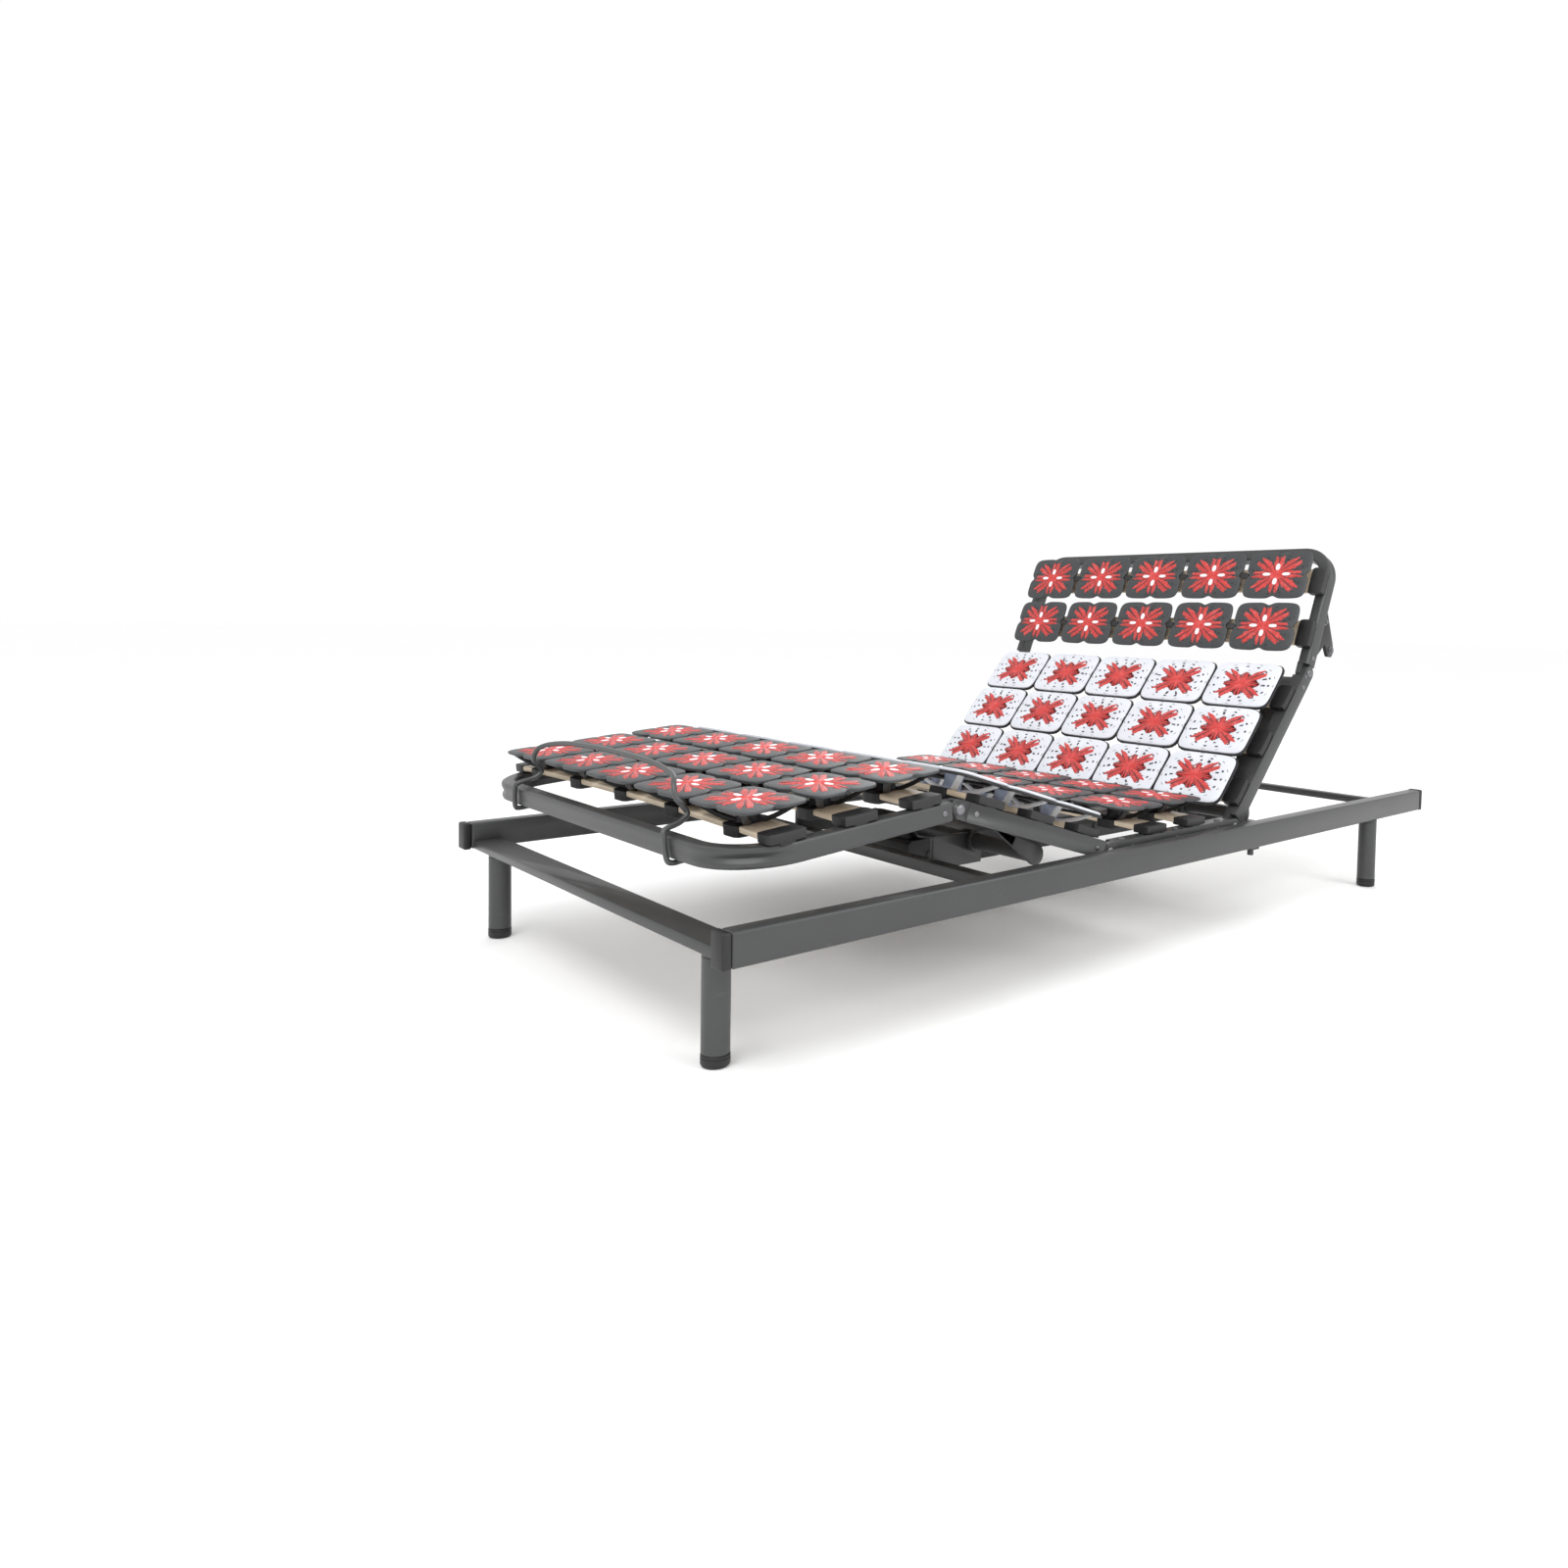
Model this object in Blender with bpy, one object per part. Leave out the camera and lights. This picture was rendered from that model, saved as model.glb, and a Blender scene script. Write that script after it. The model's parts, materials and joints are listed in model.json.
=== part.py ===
"""Adjustable bed base: tube frame, four folding sections, spring modules on slats.

Built in the raised pose it rests in: back and head up, knees up.
X runs across (positive = right rail), Y runs toward the head, Z is up, metres.
"""
import math

import bmesh
import bpy
from mathutils import Matrix, Vector

MM = 0.001

# ---- driving dimensions (millimetres) -------------------------------------
WIDTH = 900.0            # outside of the side rails
LENGTH = 1900.0          # ends of the rail caps
LEG_H = 150.0            # floor to the underside of the rails
RAIL_W, RAIL_H = 29.0, 46.0
CAP_T = 14.0
TUBE_W, TUBE_H = 25.0, 30.0
TUBE_X = 404.5           # centre of the section side tubes
GAP = 0.3

Z_HINGE = 190.0          # all hinges when flat
Y_THIGH = -175.0         # fixed seat / thigh hinge
Y_BACK = 205.0           # fixed seat / back hinge
L_THIGH, L_LEG = 370.0, 390.0
L_BACK, L_HEAD = 390.0, 285.0

BACK_REST, HEAD_REST = 48.0, 19.2      # degrees above flat
THIGH_REST, KNEE_REST = 17.0, 22.0

R_SHAFT = 14.0
R_BORE = 14.5
ARM_THIGH, ARM_BACK = 120.0, 130.0     # lift arm = distance of shaft from hinge
ARM_X = 353.0

SLAT_W, SLAT_T, SLAT_HALF = 54.0, 9.0, 412.0
SLAT_Z = TUBE_H / 2 + 3.2              # slat underside above the hinge line
CAMBER = 8.0
MOD_X, MOD_Y, MOD_PITCH, MOD_T = 150.0, 110.0, 160.0, 6.0
MOD_TOP = 63.0                         # plate top above the hinge line

ROWS = (                               # section, distance from its hinge
    ("leg", 62.0), ("leg", 182.0), ("leg", 302.0),
    ("thigh", 65.0), ("thigh", 185.0), ("thigh", 305.0),
    ("seat", 133.0), ("seat", 253.0),
    ("back", 64.0), ("back", 184.0), ("back", 304.0),
    ("head", 80.0), ("head", 200.0),
)


# ---- materials ------------------------------------------------------------
def material(name, rgb, rough, metal=0.0):
    mat = bpy.data.materials.new(name)
    mat.use_nodes = True
    bsdf = mat.node_tree.nodes["Principled BSDF"]
    bsdf.inputs["Base Color"].default_value = (*rgb, 1.0)
    bsdf.inputs["Roughness"].default_value = rough
    bsdf.inputs["Metallic"].default_value = metal
    return mat


# ---- pose frames ----------------------------------------------------------
def turn(y, z, deg):
    a = math.radians(deg)
    return y * math.cos(a) - z * math.sin(a), y * math.sin(a) + z * math.cos(a)


def frames():
    """Section name -> (hinge y, hinge z, direction of the section, tilt in degrees)."""
    out = {"seat": (Y_THIGH, Z_HINGE, 1, 0.0), "base": (0.0, 0.0, 1, 0.0)}
    out["back"] = (Y_BACK, Z_HINGE, 1, BACK_REST)
    dy, dz = turn(L_BACK, 0, BACK_REST)
    out["head"] = (Y_BACK + dy, Z_HINGE + dz, 1, BACK_REST + HEAD_REST)
    out["thigh"] = (Y_THIGH, Z_HINGE, -1, -THIGH_REST)
    dy, dz = turn(-L_THIGH, 0, -THIGH_REST)
    out["leg"] = (Y_THIGH + dy, Z_HINGE + dz, -1, KNEE_REST - THIGH_REST)
    return out


FRAMES = frames()


def place(obj, section, origin=None):
    """Turn a mesh drawn in section coordinates (x, s, h) into the raised pose.

    s is the distance from the section's hinge, h the height above its hinge line.
    The object's origin ends up on the hinge unless another point is given.
    """
    y0, z0, sign, tilt = FRAMES[section]
    oy, oz = origin if origin else (y0, z0)
    bm = bmesh.new()
    bm.from_mesh(obj.data)
    for v in bm.verts:
        x, s, h = v.co.x / MM, v.co.y / MM, v.co.z / MM
        dy, dz = turn(sign * s, h, tilt)
        v.co = (x * MM, (y0 + dy - oy) * MM, (z0 + dz - oz) * MM)
    if sign < 0:
        bmesh.ops.reverse_faces(bm, faces=bm.faces)
    bm.to_mesh(obj.data)
    bm.free()
    obj.location = (0.0, oy * MM, oz * MM)
    return obj


# ---- mesh helpers ---------------------------------------------------------
COLLECTION = None
MATERIALS = {}


def add_object(name, bm, mat):
    bmesh.ops.remove_doubles(bm, verts=bm.verts, dist=1e-6)
    bmesh.ops.recalc_face_normals(bm, faces=bm.faces)
    mesh = bpy.data.meshes.new(name)
    bm.to_mesh(mesh)
    bm.free()
    obj = bpy.data.objects.new(name, mesh)
    COLLECTION.objects.link(obj)
    mesh.materials.append(MATERIALS[mat])
    return obj


def add_box(bm, x0, x1, y0, y1, z0, z1):
    """A cube primitive stretched and moved to fill the given ranges."""
    centre = Vector((x0 + x1, y0 + y1, z0 + z1)) * (MM / 2)
    size = Matrix.Diagonal(((x1 - x0) * MM, (y1 - y0) * MM, (z1 - z0) * MM, 1.0))
    bmesh.ops.create_cube(bm, size=1.0, matrix=Matrix.Translation(centre) @ size)


def extrude_outline(bm, corners, reach):
    """Fills a flat outline and extrudes it by the reach."""
    face = bm.faces.new([bm.verts.new(corner) for corner in corners])
    grown = bmesh.ops.extrude_face_region(bm, geom=[face])["geom"]
    bmesh.ops.translate(bm, vec=reach, verts=[v for v in grown if isinstance(v, bmesh.types.BMVert)])


def add_prism_x(bm, outline, x0, x1):
    """Extrude a (y, z) outline along X."""
    extrude_outline(bm, [(x0 * MM, y * MM, z * MM) for y, z in outline], ((x1 - x0) * MM, 0.0, 0.0))


def add_prism_z(bm, outline, z0, z1):
    """Extrude an (x, y) outline along Z."""
    extrude_outline(bm, [(x * MM, y * MM, z0 * MM) for x, y in outline], (0.0, 0.0, (z1 - z0) * MM))


def arc(cx, cy, r, a0, a1, n):
    out = []
    for i in range(n + 1):
        a = math.radians(a0 + (a1 - a0) * i / n)
        out.append((cx + r * math.cos(a), cy + r * math.sin(a)))
    return out


def circle(cy, cz, r, n):
    return arc(cy, cz, r, 0, 360 - 360 / n, n - 1)


def union(name, mat, parts, minus=()):
    """Join closed primitives into one closed body, then take the cutters away."""
    bodies = []
    for k, draw in enumerate(parts):
        bm = bmesh.new()
        draw(bm)
        bodies.append(add_object(name if k == 0 else name + "_tool_%d" % k, bm, mat))
    base = bodies[0]
    for k, draw in enumerate(minus):
        bm = bmesh.new()
        draw(bm)
        bodies.append(add_object(name + "_cut_%d" % k, bm, mat))
    for k, tool in enumerate(bodies[1:], 1):
        mod = base.modifiers.new("boolean_%d" % k, "BOOLEAN")
        mod.operation = "UNION" if k < len(parts) else "DIFFERENCE"
        mod.solver = "EXACT"
        mod.object = tool
    graph = bpy.context.evaluated_depsgraph_get()
    merged = bpy.data.meshes.new_from_object(base.evaluated_get(graph))
    base.modifiers.clear()
    base.data = merged
    for tool in bodies[1:]:
        bpy.data.objects.remove(tool, do_unlink=True)
    bm = bmesh.new()
    bm.from_mesh(merged)
    bmesh.ops.remove_doubles(bm, verts=bm.verts, dist=2e-6)
    bmesh.ops.dissolve_degenerate(bm, dist=1e-6, edges=bm.edges)
    bmesh.ops.recalc_face_normals(bm, faces=bm.faces)
    bm.to_mesh(merged)
    bm.free()
    merged.materials.clear()
    merged.materials.append(MATERIALS[mat])
    return base


def solid(name, mat, draw):
    bm = bmesh.new()
    draw(bm)
    return add_object(name, bm, mat)


def bevel_edges(obj, width, segments=2, angle=30.0):
    bm = bmesh.new()
    bm.from_mesh(obj.data)
    edges = [e for e in bm.edges if len(e.link_faces) == 2
             and math.degrees(e.calc_face_angle(0.0)) > angle]
    bmesh.ops.bevel(bm, geom=edges, offset=width * MM, segments=segments,
                    profile=0.5, affect="EDGES", clamp_overlap=True)
    bmesh.ops.recalc_face_normals(bm, faces=bm.faces)
    bm.to_mesh(obj.data)
    bm.free()
    return obj


# ---- base frame -----------------------------------------------------------
def build_rails():
    half = LENGTH / 2
    z0, z1 = LEG_H, LEG_H + RAIL_H
    inner = WIDTH / 2 - RAIL_W
    for side, tag in ((1, "right"), (-1, "left")):
        xs = sorted((side * inner, side * WIDTH / 2))
        end = half - CAP_T - GAP
        rail = solid("side_rail_" + tag, "frame_paint",
                     lambda bm: add_box(bm, xs[0], xs[1], -end, end, z0, z1))
        bevel_edges(rail, 3.0)
        for way, where in ((-1, "foot"), (1, "head")):
            ys = sorted((way * (half - CAP_T), way * half))
            cap = solid("rail_cap_%s_%s" % (where, tag), "black_plastic",
                        lambda bm: add_box(bm, *sorted((side * (inner - 0.8), side * WIDTH / 2)),
                                           ys[0], ys[1], z0 - 0.8, z1 + 0.8))
            bevel_edges(cap, 3.0)


def build_cross_rails():
    reach = WIDTH / 2 - RAIL_W - GAP
    for name, y0, y1, z0, z1 in (
            ("foot_cross_rail", -934.0, -880.0, LEG_H, LEG_H + 15.0),
            ("head_cross_rail", 888.0, 913.0, LEG_H + 2.0, LEG_H + 18.0),
    ):
        bar = solid(name, "frame_paint", lambda bm: add_box(bm, -reach, reach, y0, y1, z0, z1))
        bevel_edges(bar, 3.0)


def build_carrier_bar(name, y_bar, y_shaft):
    """Cross bar with two bearing plates that hold a lift shaft."""
    reach = WIDTH / 2 - RAIL_W - GAP
    z0 = LEG_H - 5.0
    way = 1 if y_shaft > y_bar else -1
    plate_end = y_shaft + way * 22.0
    ys = sorted((y_bar, plate_end))

    def bar(bm):
        add_box(bm, -reach, reach, y_bar - 12.5, y_bar + 12.5, z0, z0 + 20.0)

    def plate(x):
        return lambda bm: add_box(bm, x - 4, x + 4, ys[0], ys[1], z0 + 4.0, Z_HINGE + 15.0)

    def bore(bm):
        add_prism_x(bm, circle(y_shaft, Z_HINGE, R_BORE, 20), -260, 260)

    union(name, "frame_paint", (bar, plate(-200.0), plate(200.0)), (bore,))


def build_legs():
    for tag_x, x in (("right", 1), ("left", -1)):
        for tag_y, y, px in (("foot", -907.0, 365.0), ("head", 720.0, 430.5)):
            top = LEG_H - GAP
            solid("leg_%s_%s" % (tag_y, tag_x), "frame_paint",
                  lambda bm: add_prism_z(bm, arc(x * px, y, 19.0, 0, 345, 23), 16.3, top))
            glide = solid("glide_%s_%s" % (tag_y, tag_x), "black_plastic",
                          lambda bm: add_prism_z(bm, arc(x * px, y, 19.4, 0, 345, 23), 0.0, 16.0))
            bevel_edges(glide, 1.5, 1, 60.0)


# ---- section frames -------------------------------------------------------
def tongue(x0, x1, s_pivot, s_root):
    """Half-lap hinge tongue: round about the pivot, running back into its tube."""
    r = TUBE_H / 2 - 0.2
    if s_root > s_pivot:
        pts = arc(s_pivot, 0, r, 90, 270, 10) + [(s_root, -r), (s_root, r)]
    else:
        pts = arc(s_pivot, 0, r, -90, 90, 10) + [(s_root, r), (s_root, -r)]
    return lambda bm: add_prism_x(bm, pts, x0, x1)


def lap(side, outer):
    """X range of the outer or inner half of a side tube."""
    a, b = TUBE_X - TUBE_W / 2 + 0.2, TUBE_X + TUBE_W / 2 - 0.2
    mid = TUBE_X
    lo, hi = (mid + 0.25, b) if outer else (a, mid - 0.25)
    return (lo, hi) if side > 0 else (-hi, -lo)


def side_span(side, s0, s1):
    xs = sorted((side * (TUBE_X - TUBE_W / 2), side * (TUBE_X + TUBE_W / 2)))
    r = TUBE_H / 2
    return lambda bm: add_box(bm, xs[0], xs[1], s0, s1, -r, r)


def track(side, s0, s1):
    """Flange inside the tube that a lift roller runs under."""
    a = TUBE_X - TUBE_W / 2
    xs = sorted((side * (ARM_X + 5.0), side * (a + 3.0)))
    return lambda bm: add_box(bm, xs[0], xs[1], s0, s1, 12.5, TUBE_H / 2 - 0.01)


def cross_tube(s, width=24.0):
    return lambda bm: add_box(bm, -TUBE_X, TUBE_X, s - width / 2, s + width / 2, -12.0, 8.0)


CUT = 16.5


def build_seat_tubes():
    length = Y_BACK - Y_THIGH
    for side, tag in ((1, "right"), (-1, "left")):
        out = lap(side, True)
        obj = union("seat_tube_" + tag, "frame_paint",
                    (side_span(side, CUT, length - CUT),
                     tongue(*out, 0.0, 25.0), tongue(*out, length, length - 25.0)))
        place(obj, "seat", (0.0, 0.0))
        obj.location = (0.0, 0.0, 0.0)


def build_h_frame(name, section, length, track_from, track_to, cross_at):
    parts = []
    for side in (1, -1):
        inner, outer = lap(side, False), lap(side, True)
        parts += [side_span(side, CUT, length - CUT), tongue(*inner, 0.0, 25.0),
                  tongue(*outer, length, length - 25.0), track(side, track_from, track_to)]
    parts.append(cross_tube(cross_at))
    place(union(name, "frame_paint", parts), section)


def u_path(length, radius, steps):
    """Centre line of a U from the right hinge round the far end to the left hinge."""
    end = length - TUBE_W / 2
    pts = [(TUBE_X, CUT)]
    pts += arc(TUBE_X - radius, end - radius, radius, 0, 90, steps)
    pts += arc(-TUBE_X + radius, end - radius, radius, 90, 180, steps)
    pts.append((-TUBE_X, CUT))
    return pts


def add_sweep(bm, path, width, height, chamfer=3.0):
    """Rectangular tube with eased corners swept along a flat (x, s) path."""
    a, b, c = width / 2, height / 2, chamfer
    ring = [(-a, -b + c), (-a, b - c), (-a + c, b), (a - c, b),
            (a, b - c), (a, -b + c), (a - c, -b), (-a + c, -b)]
    loops = []
    for i, (x, y) in enumerate(path):
        p, q = path[max(i - 1, 0)], path[min(i + 1, len(path) - 1)]
        tx, ty = q[0] - p[0], q[1] - p[1]
        n = math.hypot(tx, ty)
        nx, ny = -ty / n, tx / n
        loops.append([bm.verts.new(((x + nx * u) * MM, (y + ny * u) * MM, h * MM))
                      for u, h in ring])
    for l0, l1 in zip(loops, loops[1:]):
        for k in range(8):
            m = (k + 1) % 8
            bm.faces.new((l0[k], l1[k], l1[m], l0[m]))
    bm.faces.new(loops[0])
    bm.faces.new(loops[-1][::-1])


def build_u_frame(name, section, length, radius):
    path = u_path(length, radius, 8)
    parts = [lambda bm: add_sweep(bm, path, TUBE_W, TUBE_H)]
    for side in (1, -1):
        inner = lap(side, False)
        parts.append(tongue(*inner, 0.0, 25.0))
    place(union(name, "frame_paint", parts), section)


# ---- slats and spring modules ---------------------------------------------
def build_slat(name, section, s):
    """Cambered beech slat resting just above the side tubes."""
    n = 12
    xs = [-SLAT_HALF + 2 * SLAT_HALF * i / n for i in range(n + 1)]
    rise = [CAMBER * (1 - (x / SLAT_HALF) ** 2) for x in xs]
    outline = [(x, SLAT_Z + r) for x, r in zip(xs, rise)]
    outline += [(x, SLAT_Z + r + SLAT_T) for x, r in zip(xs[::-1], rise[::-1])]

    def draw(bm):
        y0, y1 = (s - SLAT_W / 2) * MM, (s + SLAT_W / 2) * MM
        a = [bm.verts.new((x * MM, y0, z * MM)) for x, z in outline]
        b = [bm.verts.new((x * MM, y1, z * MM)) for x, z in outline]
        m = len(outline)
        for i in range(n):
            k = m - 1 - i
            bm.faces.new((a[i], a[i + 1], a[k - 1], a[k]))
            bm.faces.new((b[i], b[k], b[k - 1], b[i + 1]))
        for i in range(m):
            j = (i + 1) % m
            bm.faces.new((a[i], b[i], b[j], a[j]))

    place(solid(name, "beech", draw), section)


def build_row(name, section, s, mat):
    """Five square spring modules linked into one row."""
    z1 = MOD_TOP
    z0 = MOD_TOP - MOD_T
    hx, hy, c = MOD_X / 2, MOD_Y / 2, 14.0
    link = 12.0
    right, left = [], []
    for k in range(-2, 3):
        cx = k * MOD_PITCH
        start = [(cx - hx, s - link)] if k > -2 else []
        stop = [(cx + hx, s - link)] if k < 2 else []
        right += start + [(cx - hx, s - hy + c), (cx - hx + c, s - hy),
                          (cx + hx - c, s - hy), (cx + hx, s - hy + c)] + stop
    for x, y in reversed(right):
        left.append((x, 2 * s - y))
    outline = right + left

    def plate(bm):
        add_prism_z(bm, outline, z0, z1)

    def post(k):
        cx = k * MOD_PITCH
        foot = SLAT_Z + SLAT_T + CAMBER * (1 - (abs(cx) - 16 if k else 0.0) ** 2 / SLAT_HALF ** 2) + 0.4
        return lambda bm: add_box(bm, cx - 15, cx + 15, s - 17, s + 17, foot, z0 + 2.0)

    place(union(name, mat, [plate] + [post(k) for k in range(-2, 3)]), section)


def build_bed_surface():
    count = {}
    for section, s in ROWS:
        count[section] = count.get(section, 0) + 1
        tag = "%s_%d" % (section, count[section])
        mat = "white_plastic" if section in ("thigh", "back") else "anthracite_plastic"
        build_slat("slat_" + tag, section, s)
        build_row("module_row_" + tag, section, s, mat)
        if section == "seat":
            for name in ("slat_" + tag, "module_row_" + tag):
                obj = bpy.data.objects[name]
                shift = obj.location.copy()
                for v in obj.data.vertices:
                    v.co += shift
                obj.location = (0.0, 0.0, 0.0)


# ---- drive ----------------------------------------------------------------
def build_motor():
    y0, y1 = Y_THIGH - ARM_THIGH - 36.0, Y_BACK + ARM_BACK + 36.0
    z0, z1 = LEG_H - 36.0, LEG_H + 20.0
    body = arc(y0 + 28, z0 + 28, 28, 180, 270, 5) + arc(y1 - 28, z0 + 28, 28, 270, 360, 5)
    body += [(y1, z1 - 6), (y1 - 6, z1), (y0 + 6, z1), (y0, z1 - 6)]
    shafts = (Y_THIGH - ARM_THIGH, Y_BACK + ARM_BACK)

    def saddle(y):
        pts = [(y - 24, z1 - 20)] + arc(y, Z_HINGE, 20, 180, 0, 8) + [(y + 24, z1 - 20)]
        return lambda bm: add_prism_x(bm, pts, -56, 56)

    def bore(y):
        return lambda bm: add_prism_x(bm, circle(y, Z_HINGE, R_BORE, 20), -90, 90)

    union("motor_housing", "black_plastic",
          [lambda bm: add_prism_x(bm, body, -75, 75)] + [saddle(y) for y in shafts],
          [bore(y) for y in shafts])


def build_lift(name, hinge_y, arm, way, rest):
    """Lift shaft with an arm and a roller at each end, swung to the raised pose."""
    y_shaft = hinge_y + way * arm
    swing = 2 * rest
    a = math.radians(swing)
    ry, rz = way * arm * math.cos(a), arm * math.sin(a)
    reach = ARM_X + 3.0

    def shaft(bm):
        add_prism_x(bm, circle(0, 0, R_SHAFT, 16), -reach, reach)

    def bar(side):
        n = math.hypot(ry, rz)
        uy, uz = ry / n, rz / n
        base = math.degrees(math.atan2(uz, uy))
        pts = arc(0, 0, 18, base + 90, base + 270, 8) + arc(ry, rz, 9.5, base - 90, base + 90, 8)
        xs = sorted((side * (ARM_X - 3), side * (ARM_X + 3)))
        return lambda bm: add_prism_x(bm, pts, *xs)

    def roller(side):
        xs = sorted((side * (ARM_X + 2), side * (ARM_X + 34)))
        return lambda bm: add_prism_x(bm, circle(ry, rz, 12.0, 20), *xs)

    obj = union(name, "dark_steel", (shaft, bar(1), bar(-1), roller(1), roller(-1)))
    obj.location = (0.0, y_shaft * MM, Z_HINGE * MM)


def build_head_lever():
    """Flat lever standing out behind the head section's right tube."""
    pts = [(52, -4), (150, -4), (150, -16), (100, -64), (84, -76), (70, -72), (66, -58), (84, -34),
           (52, -16)]
    xs = (TUBE_X - 4.0, TUBE_X + 4.0)
    shift = -(TUBE_H / 2 + GAP - 4)
    obj = solid("head_lever", "black_steel",
                lambda bm: add_prism_x(bm, [(s, h + shift) for s, h in pts], *xs))
    place(obj, "head")


def build_anchor():
    """Small bolt bracket under the right rail near the back hinge."""
    y = 232.0

    def foot(bm):
        add_box(bm, 424, 446, y - 14, y + 14, LEG_H - GAP - 4, LEG_H - GAP)

    def stub(bm):
        add_prism_z(bm, arc(435, y, 6, 0, 330, 11), LEG_H - 16, LEG_H - 2)

    union("anchor_bolt", "dark_steel", (foot, stub))


def build_retainer():
    """Wire arch on the foot tube that keeps the mattress in place."""
    foot = L_LEG - TUBE_W / 2
    top = TUBE_H / 2
    r = 4.0
    lift = top + r + 0.4
    path = []
    half = [(262, foot - 22, -top - r - 0.8), (262, foot + 11.5, -top - r - 0.8),
            (260, foot + 17.5, -top), (256, foot + 17.5, top - 2), (252, foot + 14, lift + 5),
            (244, foot - 4, lift + 24), (240, foot - 14, lift + 44), (238, foot - 14, lift + 66),
            (214, foot - 14, lift + 84), (150, foot - 14, lift + 100), (70, foot - 14, lift + 107)]
    path = half + [(0, foot - 14, lift + 109)] + [(-x, s, h) for x, s, h in reversed(half)]
    curve = bpy.data.curves.new("retainer_path", "CURVE")
    curve.dimensions = "3D"
    curve.bevel_depth = r * MM
    curve.bevel_resolution = 2
    curve.use_fill_caps = True
    spline = curve.splines.new("POLY")
    spline.points.add(len(path) - 1)
    for pt, (x, s, h) in zip(spline.points, path):
        pt.co = (x * MM, s * MM, h * MM, 1.0)
    tmp = bpy.data.objects.new("retainer_tmp", curve)
    COLLECTION.objects.link(tmp)
    graph = bpy.context.evaluated_depsgraph_get()
    mesh = bpy.data.meshes.new_from_object(tmp.evaluated_get(graph))
    bpy.data.objects.remove(tmp, do_unlink=True)
    bm = bmesh.new()
    bm.from_mesh(mesh)
    place(add_object("mattress_retainer", bm, "dark_steel"), "leg")


# ---- assembly -------------------------------------------------------------
def build():
    global COLLECTION
    for obj in list(bpy.data.objects):
        bpy.data.objects.remove(obj, do_unlink=True)
    COLLECTION = bpy.data.collections.new("adjustable_bed_base")
    bpy.context.scene.collection.children.link(COLLECTION)
    MATERIALS.update(
        frame_paint=material("frame_paint", (0.075, 0.078, 0.08), 0.45, 0.3),
        dark_steel=material("dark_steel", (0.09, 0.09, 0.095), 0.4, 0.6),
        black_steel=material("black_steel", (0.02, 0.02, 0.022), 0.45, 0.3),
        black_plastic=material("black_plastic", (0.015, 0.015, 0.017), 0.5),
        anthracite_plastic=material("anthracite_plastic", (0.05, 0.052, 0.055), 0.55),
        white_plastic=material("white_plastic", (0.82, 0.83, 0.85), 0.45),
        beech=material("beech", (0.66, 0.52, 0.36), 0.5),
    )
    build_rails()
    build_cross_rails()
    build_carrier_bar("cross_bar_foot", -388.0, Y_THIGH - ARM_THIGH)
    build_carrier_bar("cross_bar_head", 408.0, Y_BACK + ARM_BACK)
    build_legs()
    build_seat_tubes()
    build_h_frame("thigh_frame", "thigh", L_THIGH, 180.0, 262.0, 338.0)
    build_u_frame("leg_frame", "leg", L_LEG, 95.0)
    build_h_frame("back_frame", "back", L_BACK, 98.0, 282.0, 360.0)
    build_u_frame("head_frame", "head", L_HEAD, 62.0)
    build_bed_surface()
    build_motor()
    build_lift("thigh_lift", Y_THIGH, ARM_THIGH, -1, THIGH_REST)
    build_lift("back_lift", Y_BACK, ARM_BACK, 1, BACK_REST)
    build_head_lever()
    build_anchor()
    build_retainer()


build()
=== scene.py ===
"""Finished look of an adjustable bed base: satin tube frame, beech slats, star-shaped spring modules."""

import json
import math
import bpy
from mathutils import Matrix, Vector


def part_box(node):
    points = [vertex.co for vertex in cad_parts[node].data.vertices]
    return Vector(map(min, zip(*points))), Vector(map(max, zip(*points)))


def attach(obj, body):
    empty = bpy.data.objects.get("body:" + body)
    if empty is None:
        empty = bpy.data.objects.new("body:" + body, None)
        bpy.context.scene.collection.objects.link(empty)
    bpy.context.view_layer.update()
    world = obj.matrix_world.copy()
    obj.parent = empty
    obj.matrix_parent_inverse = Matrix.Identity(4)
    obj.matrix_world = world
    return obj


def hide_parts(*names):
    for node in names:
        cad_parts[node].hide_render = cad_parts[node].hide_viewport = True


bl_info = {
    "name": "Adjustable Bed Base",
    "version": (1, 0, 0),
    "blender": (4, 5, 0),
    "location": "3D View > Sidebar > Bed Base",
    "description": "Builds the finished pieces of an adjustable slatted bed base on its jointed frame",
    "category": "Object",
}

import bmesh
import bpy
import numpy as np
from bpy.props import FloatProperty, FloatVectorProperty, IntProperty, PointerProperty
from mathutils import Quaternion, Vector

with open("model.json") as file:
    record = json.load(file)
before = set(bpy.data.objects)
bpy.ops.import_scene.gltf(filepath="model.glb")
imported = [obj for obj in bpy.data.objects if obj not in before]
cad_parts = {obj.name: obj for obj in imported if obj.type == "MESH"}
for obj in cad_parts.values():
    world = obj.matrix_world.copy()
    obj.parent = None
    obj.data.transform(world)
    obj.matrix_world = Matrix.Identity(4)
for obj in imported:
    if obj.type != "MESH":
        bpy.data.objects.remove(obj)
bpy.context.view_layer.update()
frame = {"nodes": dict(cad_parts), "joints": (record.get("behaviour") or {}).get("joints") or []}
NODES = frame["nodes"]
JOINTS = {joint["name"]: joint for joint in frame["joints"]}

ROW_NODES = sorted(name for name in NODES if name.startswith("module_row_"))
SLAT_NODES = sorted(name for name in NODES if name.startswith("slat_"))
WHITE_SECTIONS = ("thigh", "back")
SLAT_HALF_LENGTH, SLAT_CAMBER = 0.412, 0.008


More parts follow.
